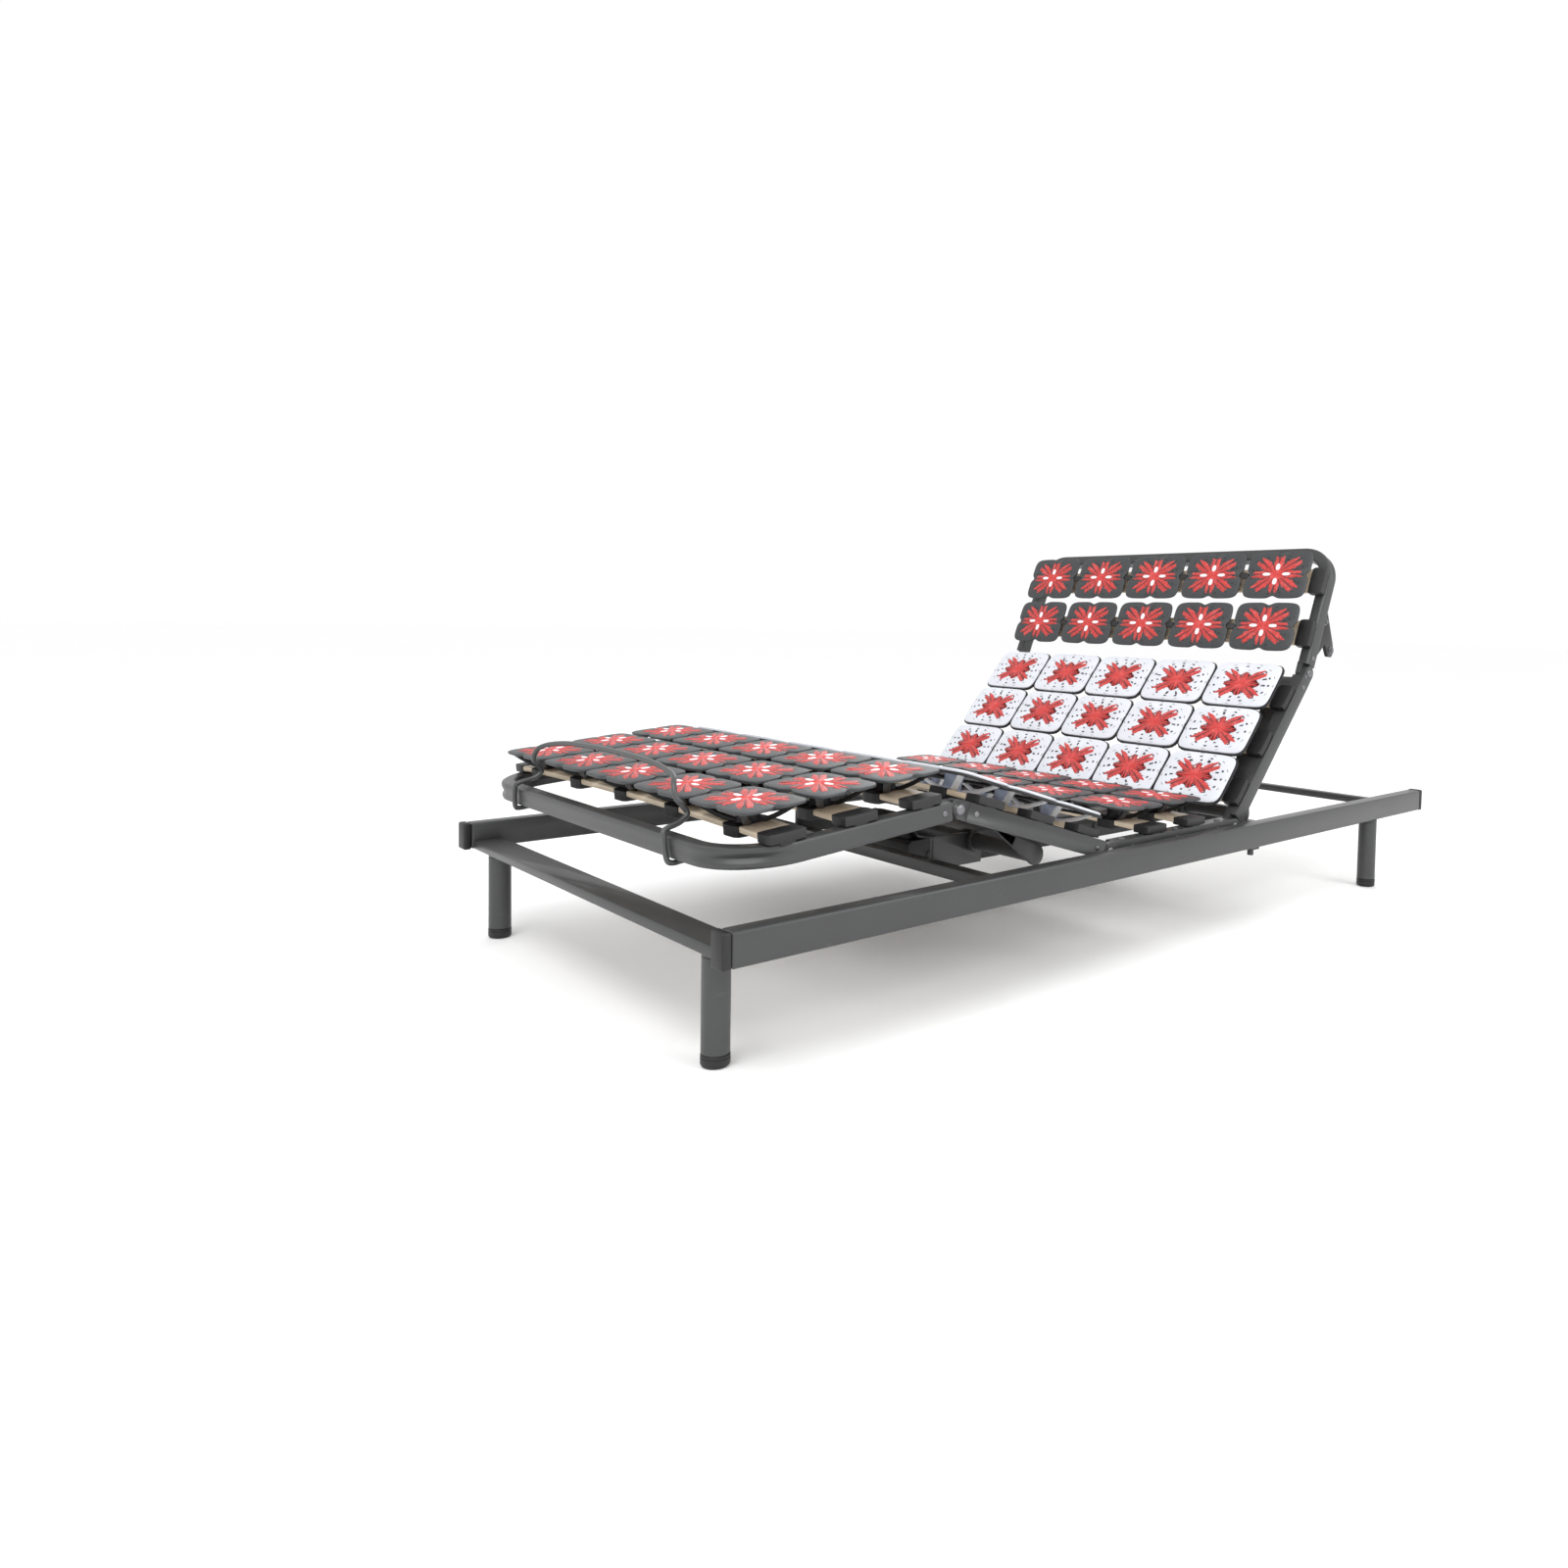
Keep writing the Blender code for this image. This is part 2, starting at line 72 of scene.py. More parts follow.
# ---- the four folding sections and the fixed seat ---------------------------
class Section:
    """A plane of the bed: (x, s, h) with s from its hinge line and h above it."""

    def __init__(self, body, joint, sign, tilt):
        _, self.y, self.z = JOINTS[joint]["pos_m"]
        self.body, self.sign = body, sign
        self.cos, self.sin = math.cos(math.radians(tilt)), math.sin(math.radians(tilt))

    def place(self, points):
        """Turns (x, s, h) points about the hinge line into the raised pose."""
        x, s, h = points[..., 0], points[..., 1] * self.sign, points[..., 2]
        return np.stack([x, self.y + s * self.cos - h * self.sin,
                         self.z + s * self.sin + h * self.cos], axis=-1)

    def measure(self, node):
        """Lowest and highest (x, s, h) of a CAD node in this section."""
        mesh = NODES[node].data
        flat = np.empty(len(mesh.vertices) * 3)
        mesh.vertices.foreach_get("co", flat)
        x, y, z = flat.reshape(-1, 3).T
        dy, dz = y - self.y, z - self.z
        local = np.stack([x, self.sign * (dy * self.cos + dz * self.sin),
                          dz * self.cos - dy * self.sin])
        return local.min(axis=1), local.max(axis=1)


def raised(joint):
    """Degrees a hinge stands above its flat end at rest."""
    return -JOINTS[joint]["range_deg"][0]


BACK, HEAD = raised("back_hinge"), raised("head_hinge")
THIGH, KNEE = raised("thigh_hinge"), raised("knee_hinge")
SECTIONS = {
    "seat": Section("base", "thigh_hinge", 1, 0.0),
    "back": Section("back_section", "back_hinge", 1, BACK),
    "head": Section("head_section", "head_hinge", 1, BACK + HEAD),
    "thigh": Section("thigh_section", "thigh_hinge", -1, -THIGH),
    "leg": Section("leg_section", "knee_hinge", -1, KNEE - THIGH),
}


def section_of(node):
    """The section that a node's name gives."""
    return SECTIONS[next(part for part in node.split("_") if part in SECTIONS)]


# ---- mesh building ----------------------------------------------------------
class Shape:
    """Gathers closed grids of points and writes them out as one mesh object."""

    def __init__(self, section=None):
        self.section = section
        self.points, self.faces, self.uvs, self.slots = [], [], [], []
        self.count = 0

    def add(self, points, faces, uv, slot):
        """Takes in one closed surface."""
        self.points.append(points)
        self.uvs.append(uv)
        self.faces.append(faces + self.count)
        self.slots.append(np.full(len(faces), slot))
        self.count += len(points)

    def loop(self, grid, slot=0, uv=None, capped=True):
        """A surface closed round its columns; its end rows are capped by fans or joined to each other.

        grid[i, j] is a point; quad (i, j) joins it to its neighbours in both directions.
        """
        rows, cols = grid.shape[:2]
        pts = grid.reshape(-1, 3)
        flat_uv = np.zeros((rows * cols, 2)) if uv is None else uv.reshape(-1, 2)
        i = np.arange(rows - 1 if capped else rows)[:, None]
        j = np.arange(cols)[None, :]
        nxt_i, nxt_j = (i + 1) % rows, (j + 1) % cols
        quads = np.stack([i * cols + j, i * cols + nxt_j, nxt_i * cols + nxt_j, nxt_i * cols + j], -1)
        quads = quads.reshape(-1, 4)
        if not capped:
            self.add(pts, quads, flat_uv, slot)
            return
        centres = np.stack([grid[0].mean(axis=0), grid[-1].mean(axis=0)])
        mid_uv = np.stack([flat_uv[:cols].mean(axis=0), flat_uv[-cols:].mean(axis=0)])
        a, b = rows * cols, rows * cols + 1
        k = np.arange(cols)
        first = np.stack([np.full(cols, a), (k + 1) % cols, k, k], -1)
        base = (rows - 1) * cols
        last = np.stack([np.full(cols, b), base + k, base + (k + 1) % cols, base + (k + 1) % cols], -1)
        self.add(np.vstack([pts, centres]), np.vstack([quads, first, last]),
                 np.vstack([flat_uv, mid_uv]), slot)

    def build(self, name, materials, smooth=40.0):
        """Writes the mesh, turned into place, with its UVs and material slots."""
        points = np.vstack(self.points)
        if self.section is not None:
            points = self.section.place(points)
        faces = [tuple(dict.fromkeys(f)) for f in np.vstack(self.faces).tolist()]
        mesh = bpy.data.meshes.new(name)
        mesh.from_pydata(points.tolist(), [], faces)
        layer = mesh.uv_layers.new(name="UVMap")
        index = np.empty(len(mesh.loops), dtype=np.int32)
        mesh.loops.foreach_get("vertex_index", index)
        layer.data.foreach_set("uv", np.vstack(self.uvs)[index].ravel())
        mesh.polygons.foreach_set("material_index", np.concatenate(self.slots).astype(np.int32))
        mesh.validate()
        obj = bpy.data.objects.new(name, mesh)
        bpy.context.scene.collection.objects.link(obj)
        for material in materials:
            mesh.materials.append(material)
        face_out(obj)
        shade(obj, smooth)
        return obj


def face_out(obj):
    """Turns every closed shell of a mesh to face outwards."""
    work = bmesh.new()
    work.from_mesh(obj.data)
    bmesh.ops.recalc_face_normals(work, faces=work.faces)
    work.to_mesh(obj.data)
    work.free()


def shade(obj, angle):
    """Smooth shading with edges sharper than the angle kept crisp."""
    mesh = obj.data
    mesh.polygons.foreach_set("use_smooth", np.ones(len(mesh.polygons), dtype=bool))
    mesh.set_sharp_from_angle(angle=math.radians(angle))


def ring(radius_x, radius_y, corner, count):
    """Rounded-box outline: |x/a|^n + |y/b|^n = 1, with a higher n for a tighter corner."""
    t = np.linspace(0.0, 2 * math.pi, count, endpoint=False)
    c, s = np.cos(t), np.sin(t)
    r = (np.abs(c) ** corner + np.abs(s) ** corner) ** (-1.0 / corner)
    return np.stack([radius_x * r * c, radius_y * r * s], axis=-1)


def block(centre, half, corner=5.0, edge=0.12, count=24):
    """Rounded block: a rounded-box outline that shrinks by a quarter circle at both ends."""
    outline = ring(half[0], half[1], corner, count)
    a = np.linspace(0.0, math.pi / 2, 4)
    rise, size = 1 - edge * (1 - np.sin(a)), 1 - edge * (1 - np.cos(a))
    rise, size = np.concatenate([-rise[::-1], rise]), np.concatenate([size[::-1], size])
    grid = np.zeros((len(rise), count, 3))
    grid[..., :2] = np.array(centre[:2]) + outline[None] * size[:, None, None]
    grid[..., 2] = centre[2] + half[2] * rise[:, None]
    return grid


def turned(profile, count=32, centre=(0.0, 0.0, 0.0)):
    """Turned surface: radius and height pairs swept round the upright axis."""
    t = np.linspace(0.0, 2 * math.pi, count, endpoint=False)
    r, z = np.asarray(profile, dtype=float).T
    grid = np.stack([r[:, None] * np.cos(t), r[:, None] * np.sin(t), z[:, None] + 0 * t], axis=-1)
    return grid + np.array(centre)


def turned_on_x(profile, count, place, side):
    """The same turned surface laid on its side, its height running out along X."""
    grid = turned(profile, count)
    return np.stack([place[0] + side * grid[..., 2], place[1] + grid[..., 0], place[2] + grid[..., 1]],
                    axis=-1)


def smooth_path(points, per_span):
    """Catmull-Rom curve through given points: cubic blend of each four neighbours."""
    p = np.asarray(points, dtype=float)
    p = np.vstack([2 * p[0] - p[1], p, 2 * p[-1] - p[-2]])
    t = np.linspace(0.0, 1.0, per_span, endpoint=False)[:, None]
    spans = [0.5 * (2 * b + (c - a) * t + (2 * a - 5 * b + 4 * c - d) * t ** 2
                    + (3 * b - a - 3 * c + d) * t ** 3)
             for a, b, c, d in zip(p[:-3], p[1:-2], p[2:-1], p[3:])]
    return np.vstack(spans + [p[-2][None]])


def tube(path, section, up=(0.0, 0.0, 1.0)):
    """Carries a (side, up) outline along a path; side is the path's direction crossed with up."""
    path = np.asarray(path, dtype=float)
    along = np.gradient(path, axis=0)
    along /= np.linalg.norm(along, axis=1, keepdims=True)
    side = np.cross(along, np.asarray(up, dtype=float))
    side /= np.linalg.norm(side, axis=1, keepdims=True)
    rise = np.cross(side, along)
    outline = np.broadcast_to(section, (len(path),) + np.shape(section)[-2:])
    return path[:, None] + side[:, None] * outline[..., :1] + rise[:, None] * outline[..., 1:]


# ---- shader writing ---------------------------------------------------------
class Signal:
    """A shader socket that takes Python arithmetic; each operator adds a Math node."""

    def __init__(self, graph, socket):
        self.graph, self.socket = graph, socket

    def _math(self, operation, first, second):
        return self.graph.node("ShaderNodeMath", {"operation": operation}, {0: first, 1: second})

    def __add__(self, other):
        return self._math("ADD", self, other)

    def __sub__(self, other):
        return self._math("SUBTRACT", self, other)

    def __rsub__(self, other):
        return self._math("SUBTRACT", other, self)

    def __mul__(self, other):
        return self._math("MULTIPLY", self, other)

    def __pow__(self, other):
        return self._math("POWER", self, other)

    __radd__, __rmul__ = __add__, __mul__


class Graph:
    """A material's node tree with its Principled shader."""

    def __init__(self, name):
        self.material = bpy.data.materials.new(name)
        self.material.use_nodes = True
        self.tree = self.material.node_tree
        self.shader = self.tree.nodes["Principled BSDF"]

    def node(self, kind, settings, inputs, out=0):
        """Adds a node: its settings first, then values or links on its sockets."""
        made = self.tree.nodes.new(kind)
        for key, value in settings.items():
            setattr(made, key, value)
        for key, value in inputs.items():
            self.feed(made.inputs[key], value)
        return Signal(self, made.outputs[out])

    def feed(self, socket, value):
        if isinstance(value, Signal):
            self.tree.links.new(value.socket, socket)
        elif hasattr(socket.default_value, "__len__") and hasattr(value, "__len__"):
            size = len(socket.default_value)
            socket.default_value = (tuple(value) + (1.0,))[:size]
        else:
            socket.default_value = value

    def place(self, scale=(1.0, 1.0, 1.0)):
        coords = self.node("ShaderNodeTexCoord", {}, {}, out="Object")
        return self.node("ShaderNodeMapping", {}, {"Vector": coords, "Scale": scale})

    def noise(self, scale, detail=3.0, stretch=(1.0, 1.0, 1.0), rough=0.5):
        return self.node("ShaderNodeTexNoise", {},
                         {"Vector": self.place(stretch), "Scale": scale, "Detail": detail,
                          "Roughness": rough}, out="Fac")

    def step(self, value, low, high):
        """Smooth step from 0 to 1 of a value between two bounds."""
        return self.node("ShaderNodeMapRange", {"interpolation_type": "SMOOTHSTEP"},
                         {"Value": value, "From Min": low, "From Max": high})

    def mix(self, amount, first, second):
        return self.node("ShaderNodeMix", {"data_type": "RGBA"}, {0: amount, 6: first, 7: second}, out=2)

    def larger(self, first, second):
        return self.node("ShaderNodeMath", {"operation": "MAXIMUM"}, {0: first, 1: second})

    def sine(self, value):
        return self.node("ShaderNodeMath", {"operation": "SINE"}, {0: value})

    def bump(self, height, strength, distance):
        return self.node("ShaderNodeBump", {}, {"Height": height, "Strength": strength,
                                                "Distance": distance})

    def finish(self, colour, roughness, bump=None, metallic=0.0, coat=0.0):
        self.feed(self.shader.inputs["Base Color"], colour)
        self.feed(self.shader.inputs["Roughness"], roughness)
        self.shader.inputs["Metallic"].default_value = metallic
        self.shader.inputs["Coat Weight"].default_value = coat
        if bump is not None:
            self.feed(self.shader.inputs["Normal"], bump)
        return self.material


def powder_paint(name, colour, rough=0.42, metallic=0.25):
    """Satin powder coat: fine orange peel, faint mottling, scuffs a little lighter."""
    g = Graph(name)
    peel = g.noise(900.0, 2.0)
    cloud = g.noise(6.0, 4.0)
    scuff = g.step(g.noise(38.0, 6.0, (1.0, 0.35, 1.0), 0.7), 0.60, 0.74)
    lighter = tuple(min(1.0, c * 1.7 + 0.01) for c in colour)
    darker = tuple(c * 0.78 for c in colour)
    base = g.mix(cloud, darker, tuple(c * 1.18 for c in colour))
    tone = g.mix(scuff * 0.35, base, lighter)
    roughness = cloud * 0.14 + (rough - 0.07) + scuff * 0.12
    height = peel * 0.6 + scuff * 0.3
    return g.finish(tone, roughness, g.bump(height, 0.18, 0.0004), metallic, 0.12)


def moulded_plastic(name, colour, rough=0.5, grain=700.0, streak=0.10):
    """Moulded plastic: fine spark texture, flow marks and faint patches of dust."""
    g = Graph(name)
    spark = g.noise(grain, 2.0)
    flow = g.noise(18.0, 4.0, (1.0, 0.4, 1.0))
    dust = g.step(g.noise(5.0, 5.0), 0.5, 0.75)
    base = g.mix(flow, tuple(c * (1 - streak) for c in colour),
                 tuple(min(1.0, c * (1 + streak)) for c in colour))
    tone = g.mix(dust * 0.10, base, tuple(min(1.0, c * 0.6 + 0.22) for c in colour))
    return g.finish(tone, flow * 0.12 + (rough - 0.06) + dust * 0.06,
                    g.bump(spark, 0.22, 0.0003))


def polar(g):
    """Distance from a module's centre and angle round it, from its own UV square."""
    uv = g.node("ShaderNodeUVMap", {"uv_map": "UVMap"}, {})
    u = g.node("ShaderNodeSeparateXYZ", {}, {"Vector": uv})
    v = Signal(g, u.socket.node.outputs[1])
    radius = (u * u + v * v) ** 0.5
    angle = g.node("ShaderNodeMath", {"operation": "ARCTAN2"}, {0: v, 1: u})
    return radius, angle


def plate_plastic(name, colour, mark, rough=0.45):
    """Module plate: moulded plastic with scattered short slots and dots round the insert."""
    g = Graph(name)
    radius, angle = polar(g)
    spark = g.noise(700.0, 2.0)
    flow = g.noise(22.0, 3.0)
    drift = g.noise(34.0, 1.0)
    spokes = g.step(g.sine(angle * 15.0 + drift * 6.0), 0.66, 0.80)
    dots = g.step(g.sine(angle * 15.0 + 2.1), 0.62, 0.76) * g.step(g.sine(radius * 40.0), 0.30, 0.55)
    near_band = g.step(radius, 0.60, 0.64) * (1 - g.step(radius + drift * 0.3, 0.84, 0.88))
    far_band = g.step(radius, 0.78, 0.80) * (1 - g.step(radius, 0.96, 0.98))
    holes = g.larger(spokes * near_band, dots * far_band)
    base = g.mix(flow, tuple(c * 0.90 for c in colour), tuple(min(1.0, c * 1.08) for c in colour))
    tone = g.mix(holes, base, mark)
    height = spark * 0.15 - holes * 1.0
    return g.finish(tone, flow * 0.10 + (rough - 0.05), g.bump(height, 0.5, 0.0012))


def insert_plastic(name, colour):
    """Elastomer star insert: soft sheen, painted highlights as pale patches and dark slots along the arms.
    """
    g = Graph(name)
    radius, angle = polar(g)
    cloud = g.noise(60.0, 4.0)
    fine = g.noise(900.0, 2.0)
    split = g.step(g.sine(angle * 8.0 + 1.57), 0.86, 0.96) * g.step(radius, 0.30, 0.36)
    slots = g.step(g.sine(angle * 16.0 + cloud * 3.0), 0.72, 0.88) * g.step(radius, 0.20, 0.26)
    specks = g.step(g.noise(420.0, 2.0), 0.56, 0.62) * g.step(radius, 0.18, 0.24)
    dark = g.larger(g.larger(split * 0.5, slots * 0.85), specks * 0.7)
    # Painted highlight: pale patches spread by a noise cloud lighten the red.
    pale = g.step(cloud, 0.50, 0.70) * 0.35
    base = g.mix(pale, colour, tuple(min(1.0, c * 1.15 + 0.12) for c in colour))
    tone = g.mix(dark, base, (0.05, 0.008, 0.010))
    height = cloud * 0.2 + fine * 0.1 - dark
    return g.finish(tone, cloud * 0.15 + 0.36, g.bump(height, 0.55, 0.001))


def beech_wood(name, light, dark):
    """Laminated beech: long grain, short dark rays, lacquer with slight unevenness."""
    g = Graph(name)
    grain = g.noise(14.0, 6.0, (0.35, 7.0, 7.0), 0.62)
    pores = g.noise(90.0, 4.0, (0.12, 3.0, 3.0), 0.7)
    broad = g.noise(3.0, 3.0, (0.4, 1.5, 1.5))
    rays = g.step(pores, 0.60, 0.72)
    base = g.mix(g.step(grain, 0.32, 0.68), light, dark)
    warm = g.mix(broad * 0.5, base, tuple(c * 0.86 for c in dark))
    tone = g.mix(rays * 0.35, warm, tuple(c * 0.62 for c in dark))
    return g.finish(tone, grain * 0.18 + 0.34, g.bump(grain * 0.5 - rays * 0.4, 0.25, 0.0006),
                    0.0, 0.15)


def bolt_steel(name):
    """Zinc plated steel: dull sheen with fine turning marks."""
    g = Graph(name)
    mark = g.noise(260.0, 3.0, (1.0, 1.0, 5.0))
    cloud = g.noise(40.0, 3.0)
    tone = g.mix(cloud, (0.13, 0.13, 0.14), (0.25, 0.25, 0.26))
    return g.finish(tone, mark * 0.2 + 0.28, g.bump(mark, 0.2, 0.0003), 0.9)


FINISH = {}


def mix_finishes(settings):
    """Makes every finish once, from the colours in the settings."""
    if FINISH:
        return
    FINISH.update(
        frame_paint=powder_paint("satin_frame_paint", settings.frame_colour),
        dark_steel=powder_paint("dark_lift_paint", tuple(c * 0.8 for c in settings.frame_colour)),
        wire_steel=powder_paint("retainer_paint", tuple(c * 1.25 for c in settings.frame_colour), 0.38),
        black_steel=powder_paint("black_lever_paint", (0.02, 0.02, 0.022)),
        black_plastic=moulded_plastic("black_moulding", (0.008, 0.008, 0.009), 0.50),
        post_blue=moulded_plastic("clear_blue_post", settings.post_colour, 0.25, 300.0),
        white_strut=moulded_plastic("white_strut", (0.80, 0.81, 0.84), 0.42),
        dark_plate=plate_plastic("anthracite_plate", settings.dark_plate_colour, (0.012, 0.012, 0.014)),
        white_plate=plate_plastic("white_plate", settings.white_plate_colour, (0.02, 0.02, 0.03)),
        insert=insert_plastic("red_star_insert", settings.insert_colour),
        beech=beech_wood("lacquered_beech", (0.76, 0.65, 0.50), (0.64, 0.51, 0.36)),
        bolt=bolt_steel("zinc_bolt"),
    )


def dress(node, finish, width=0.0, segments=2):
    """Gives a CAD node its finish, welded and with its edges eased by a bevel."""
    obj = NODES[node]
    obj.data.materials.clear()
    obj.data.materials.append(FINISH[finish])
    if width > 0.0:
        weld = obj.modifiers.new("weld", "WELD")
        weld.merge_threshold = 0.00002
        ease = obj.modifiers.new("ease", "BEVEL")
        ease.width, ease.segments = width, segments
        ease.limit_method, ease.angle_limit = "ANGLE", math.radians(32.0)
        ease.use_clamp_overlap = True
        ease.harden_normals = True
    shade(obj, 35.0)


def settle(obj, body, slot, *replaced):
    """Rides a piece on its body and hides what it stands for; the slot argument is not used."""
    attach(obj, body)
    if replaced:
        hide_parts(*replaced)


# ---- settings ---------------------------------------------------------------
class BedBaseColours(bpy.types.PropertyGroup):
    """Colours of the finishes."""

    frame_colour: FloatVectorProperty(name="Frame", description="Powder coat on the tube frame",
                                      default=(0.050, 0.051, 0.052), subtype="COLOR", min=0, max=1)
    dark_plate_colour: FloatVectorProperty(name="Dark plate", description="Anthracite module plates",
                                           default=(0.036, 0.039, 0.042), subtype="COLOR", min=0, max=1)
    white_plate_colour: FloatVectorProperty(name="White plate", description="White module plates",
                                            default=(0.66, 0.68, 0.73), subtype="COLOR", min=0, max=1)
    insert_colour: FloatVectorProperty(name="Insert", description="Star inserts of the modules",
                                       default=(0.56, 0.040, 0.036), subtype="COLOR", min=0, max=1)
    post_colour: FloatVectorProperty(name="Post", description="Centre posts of the white modules",
                                     default=(0.48, 0.56, 0.72), subtype="COLOR", min=0, max=1)


class SpringModuleSizes(bpy.types.PropertyGroup):
    """Sizes of one spring module."""

    across: IntProperty(name="Modules", description="Modules side by side in a row", default=5, min=1)
    gap: FloatProperty(name="Gap", description="Space between neighbouring plates",
                       default=0.010, unit="LENGTH")
    spread: FloatProperty(name="Spread", description="Extra half width of a white plate",
                          default=0.0020, unit="LENGTH")
    tray: FloatProperty(name="Tray", description="How far the black tray shows round a white plate",
                        default=0.0026, unit="LENGTH")
    plate: FloatProperty(name="Plate", description="Thickness of a plate", default=0.0050, unit="LENGTH")
    strut: FloatProperty(name="Strut", description="Width of a spring strut", default=0.0110,
                         unit="LENGTH")
    post: FloatProperty(name="Post", description="Radius of the centre post", default=0.0155,
                        unit="LENGTH")
    notch: FloatProperty(name="Notch", description="Depth of the notch in a dark plate's sides",
                         default=0.11, min=0.0, max=0.3)


class TubeSizes(bpy.types.PropertyGroup):
    """Sizes of the section tubes and their hinges."""

    width: FloatProperty(name="Width", description="Tube width", default=0.025, unit="LENGTH")
    height: FloatProperty(name="Height", description="Tube height", default=0.030, unit="LENGTH")
    corner: FloatProperty(name="Corner", description="Outline power of the tube's corners",
                          default=7.0, min=2.0, max=20.0)
    crimp: FloatProperty(name="Crimp", description="Depth of the crease in the outside of a bend",
                         default=0.0052, unit="LENGTH")
    pin: FloatProperty(name="Pin", description="Radius of a hinge pin's head", default=0.0085,
                       unit="LENGTH")
    wire: FloatProperty(name="Wire", description="Radius of the retainer wire", default=0.004,
                        unit="LENGTH")
    droop: FloatProperty(name="Droop", description="How far the retainer's arch leans below its full height",
                         default=0.034, unit="LENGTH")


class StudioSettings(bpy.types.PropertyGroup):
    """Camera and light."""

    turn: FloatProperty(name="Turn", description="Camera heading left of the length axis, degrees",
                        default=47.45)
    dip: FloatProperty(name="Dip", description="Camera angle below level, degrees", default=2.69)
    roll: FloatProperty(name="Roll", description="Camera roll, degrees", default=1.14)
    lens: FloatProperty(name="Lens", description="Focal length on a 36 mm sensor", default=25.2)
    place: FloatVectorProperty(name="Place", description="Camera position",
                               default=(1.577, -1.639, 0.580), subtype="TRANSLATION")
    shift: FloatVectorProperty(name="Shift", description="Lens shift", size=2, default=(-0.10, -0.073))
    light: FloatProperty(name="Light", description="Strength of the key light in watts", default=70.0)


# ---- spring modules ---------------------------------------------------------
PLATE_CORNER, NOTCH_WIDTH = 7.0, 0.13  # outline power of the corners, notch width in radians
PLATE_DROP, INSERT_DROP, PETAL_DROP = 0.0030, 0.0010, 0.0012  # below the top of a row
STAR_ARMS = 8
CLIP_HALF, CLIP_DROP = (0.021, 0.0325, 0.0085), 0.004

# Material slots: plates, stars and struts have slot 0, and trays and links share the clips' slot.
PETAL_SLOT, POST_SLOT, CLIP_SLOT = 1, 1, 2


def module_outline(count, notch=0.0):
    """Rounded square in polar form, pulled in by a bell-shaped notch at each mid side."""
    t = np.linspace(0.0, 2 * math.pi, count, endpoint=False)
    c, s = np.abs(np.cos(t)), np.abs(np.sin(t))
    r = (c ** PLATE_CORNER + s ** PLATE_CORNER) ** (-1.0 / PLATE_CORNER)
    quarter = (t + math.pi / 4) % (math.pi / 2) - math.pi / 4
    return t, r * (1 - notch * np.exp(-(quarter / NOTCH_WIDTH) ** 2))


def add_plate(shape, centre, half, top, sizes, notch):
    """Plate ring: a closed eight-point profile carried from the star opening to the outline."""
    t, outer = module_outline(96, notch)
    opening, wave, dome, thick = 0.50, 0.05, 0.0012, sizes.plate
    inner = opening + wave * np.cos(STAR_ARMS * t)
    across = np.array([0.0, 0.0, 0.05, 0.93, 0.985, 1.0, 0.985, 0.94])
    height = np.array([-thick, -0.0012, 0.0, 0.0, -0.0008, -0.0024, -thick * 0.9, -thick])
    r = inner[None] + (outer - inner)[None] * across[:, None]
    crown = dome * np.cos(np.minimum(r, 1.0) * math.pi / 2)
    x, y = r * np.cos(t), r * np.sin(t)
    grid = np.stack([centre[0] + x * half[0], centre[1] + y * half[1],
                     top - PLATE_DROP + height[:, None] + crown], axis=-1)
    shape.loop(grid, 0, np.stack([x, y], axis=-1), capped=False)


def star_reach(t, white):
    """Polar reach of the star: eight forked arms, the diagonal four longer, with barbs between."""
    half_step = math.pi / STAR_ARMS
    away = np.abs((t + half_step) % (2 * half_step) - half_step) / half_step
    diagonal = np.cos(4 * t) < 0
    tip = np.where(diagonal, 0.84, 0.56) if white else np.where(diagonal, 0.92, 0.80)
    width = np.where(diagonal, 0.74, 0.44) if white else np.where(diagonal, 0.72, 0.66)
    arm = 1.0 / (1.0 + (away / width) ** 6)
    fork = 1.0 - 0.26 * np.exp(-(away / 0.15) ** 2) * (np.sin(t * 3 + 0.4) * 0.4 + 0.7)
    ragged = 0.05 * np.sin(t * 37) * arm
    barb = 0.16 * np.exp(-((away - 0.86) / 0.09) ** 2)
    hub = 0.28 if white else 0.36
    return hub + (tip * fork - hub) * arm + barb + ragged


def add_insert(shape, centre, half, top, white):
    """Star insert: rings of the star outline stepped down from a low dome to its under face."""
    t = np.linspace(0.0, 2 * math.pi, 176, endpoint=False)
    reach = star_reach(t, white)
    ring_size = np.array([0.04, 0.35, 0.70, 0.95, 1.0, 1.0, 0.55])
    height = np.array([0.0, -0.0002, -0.0006, -0.0010, -0.0018, -0.0044, -0.0054])
    r = reach[None] * ring_size[:, None]
    ribs = 0.0010 * np.cos(STAR_ARMS * t)[None] * (ring_size * (1 - ring_size) * 4)[:, None]
    x, y = r * np.cos(t), r * np.sin(t)
    grid = np.stack([centre[0] + x * half[0], centre[1] + y * half[1],
                     top - INSERT_DROP + height[:, None] + ribs], axis=-1)
    shape.loop(grid, 0, np.stack([x, y], axis=-1))


def add_petals(shape, centre, half, top):
    """Four pale oval petals round the centre of a dark module's insert."""
    reach, thick = 0.31, 0.0011
    for turn in np.arange(4) * math.pi / 2:
        x = centre[0] + reach * half[0] * math.cos(turn)
        y = centre[1] + reach * half[1] * math.sin(turn)
        size = (0.0094, 0.0036) if abs(math.cos(turn)) > 0.5 else (0.0048, 0.0076)
        shape.loop(block((x, y, top - PETAL_DROP), (*size, thick), 2.4, 0.4, 16), PETAL_SLOT)


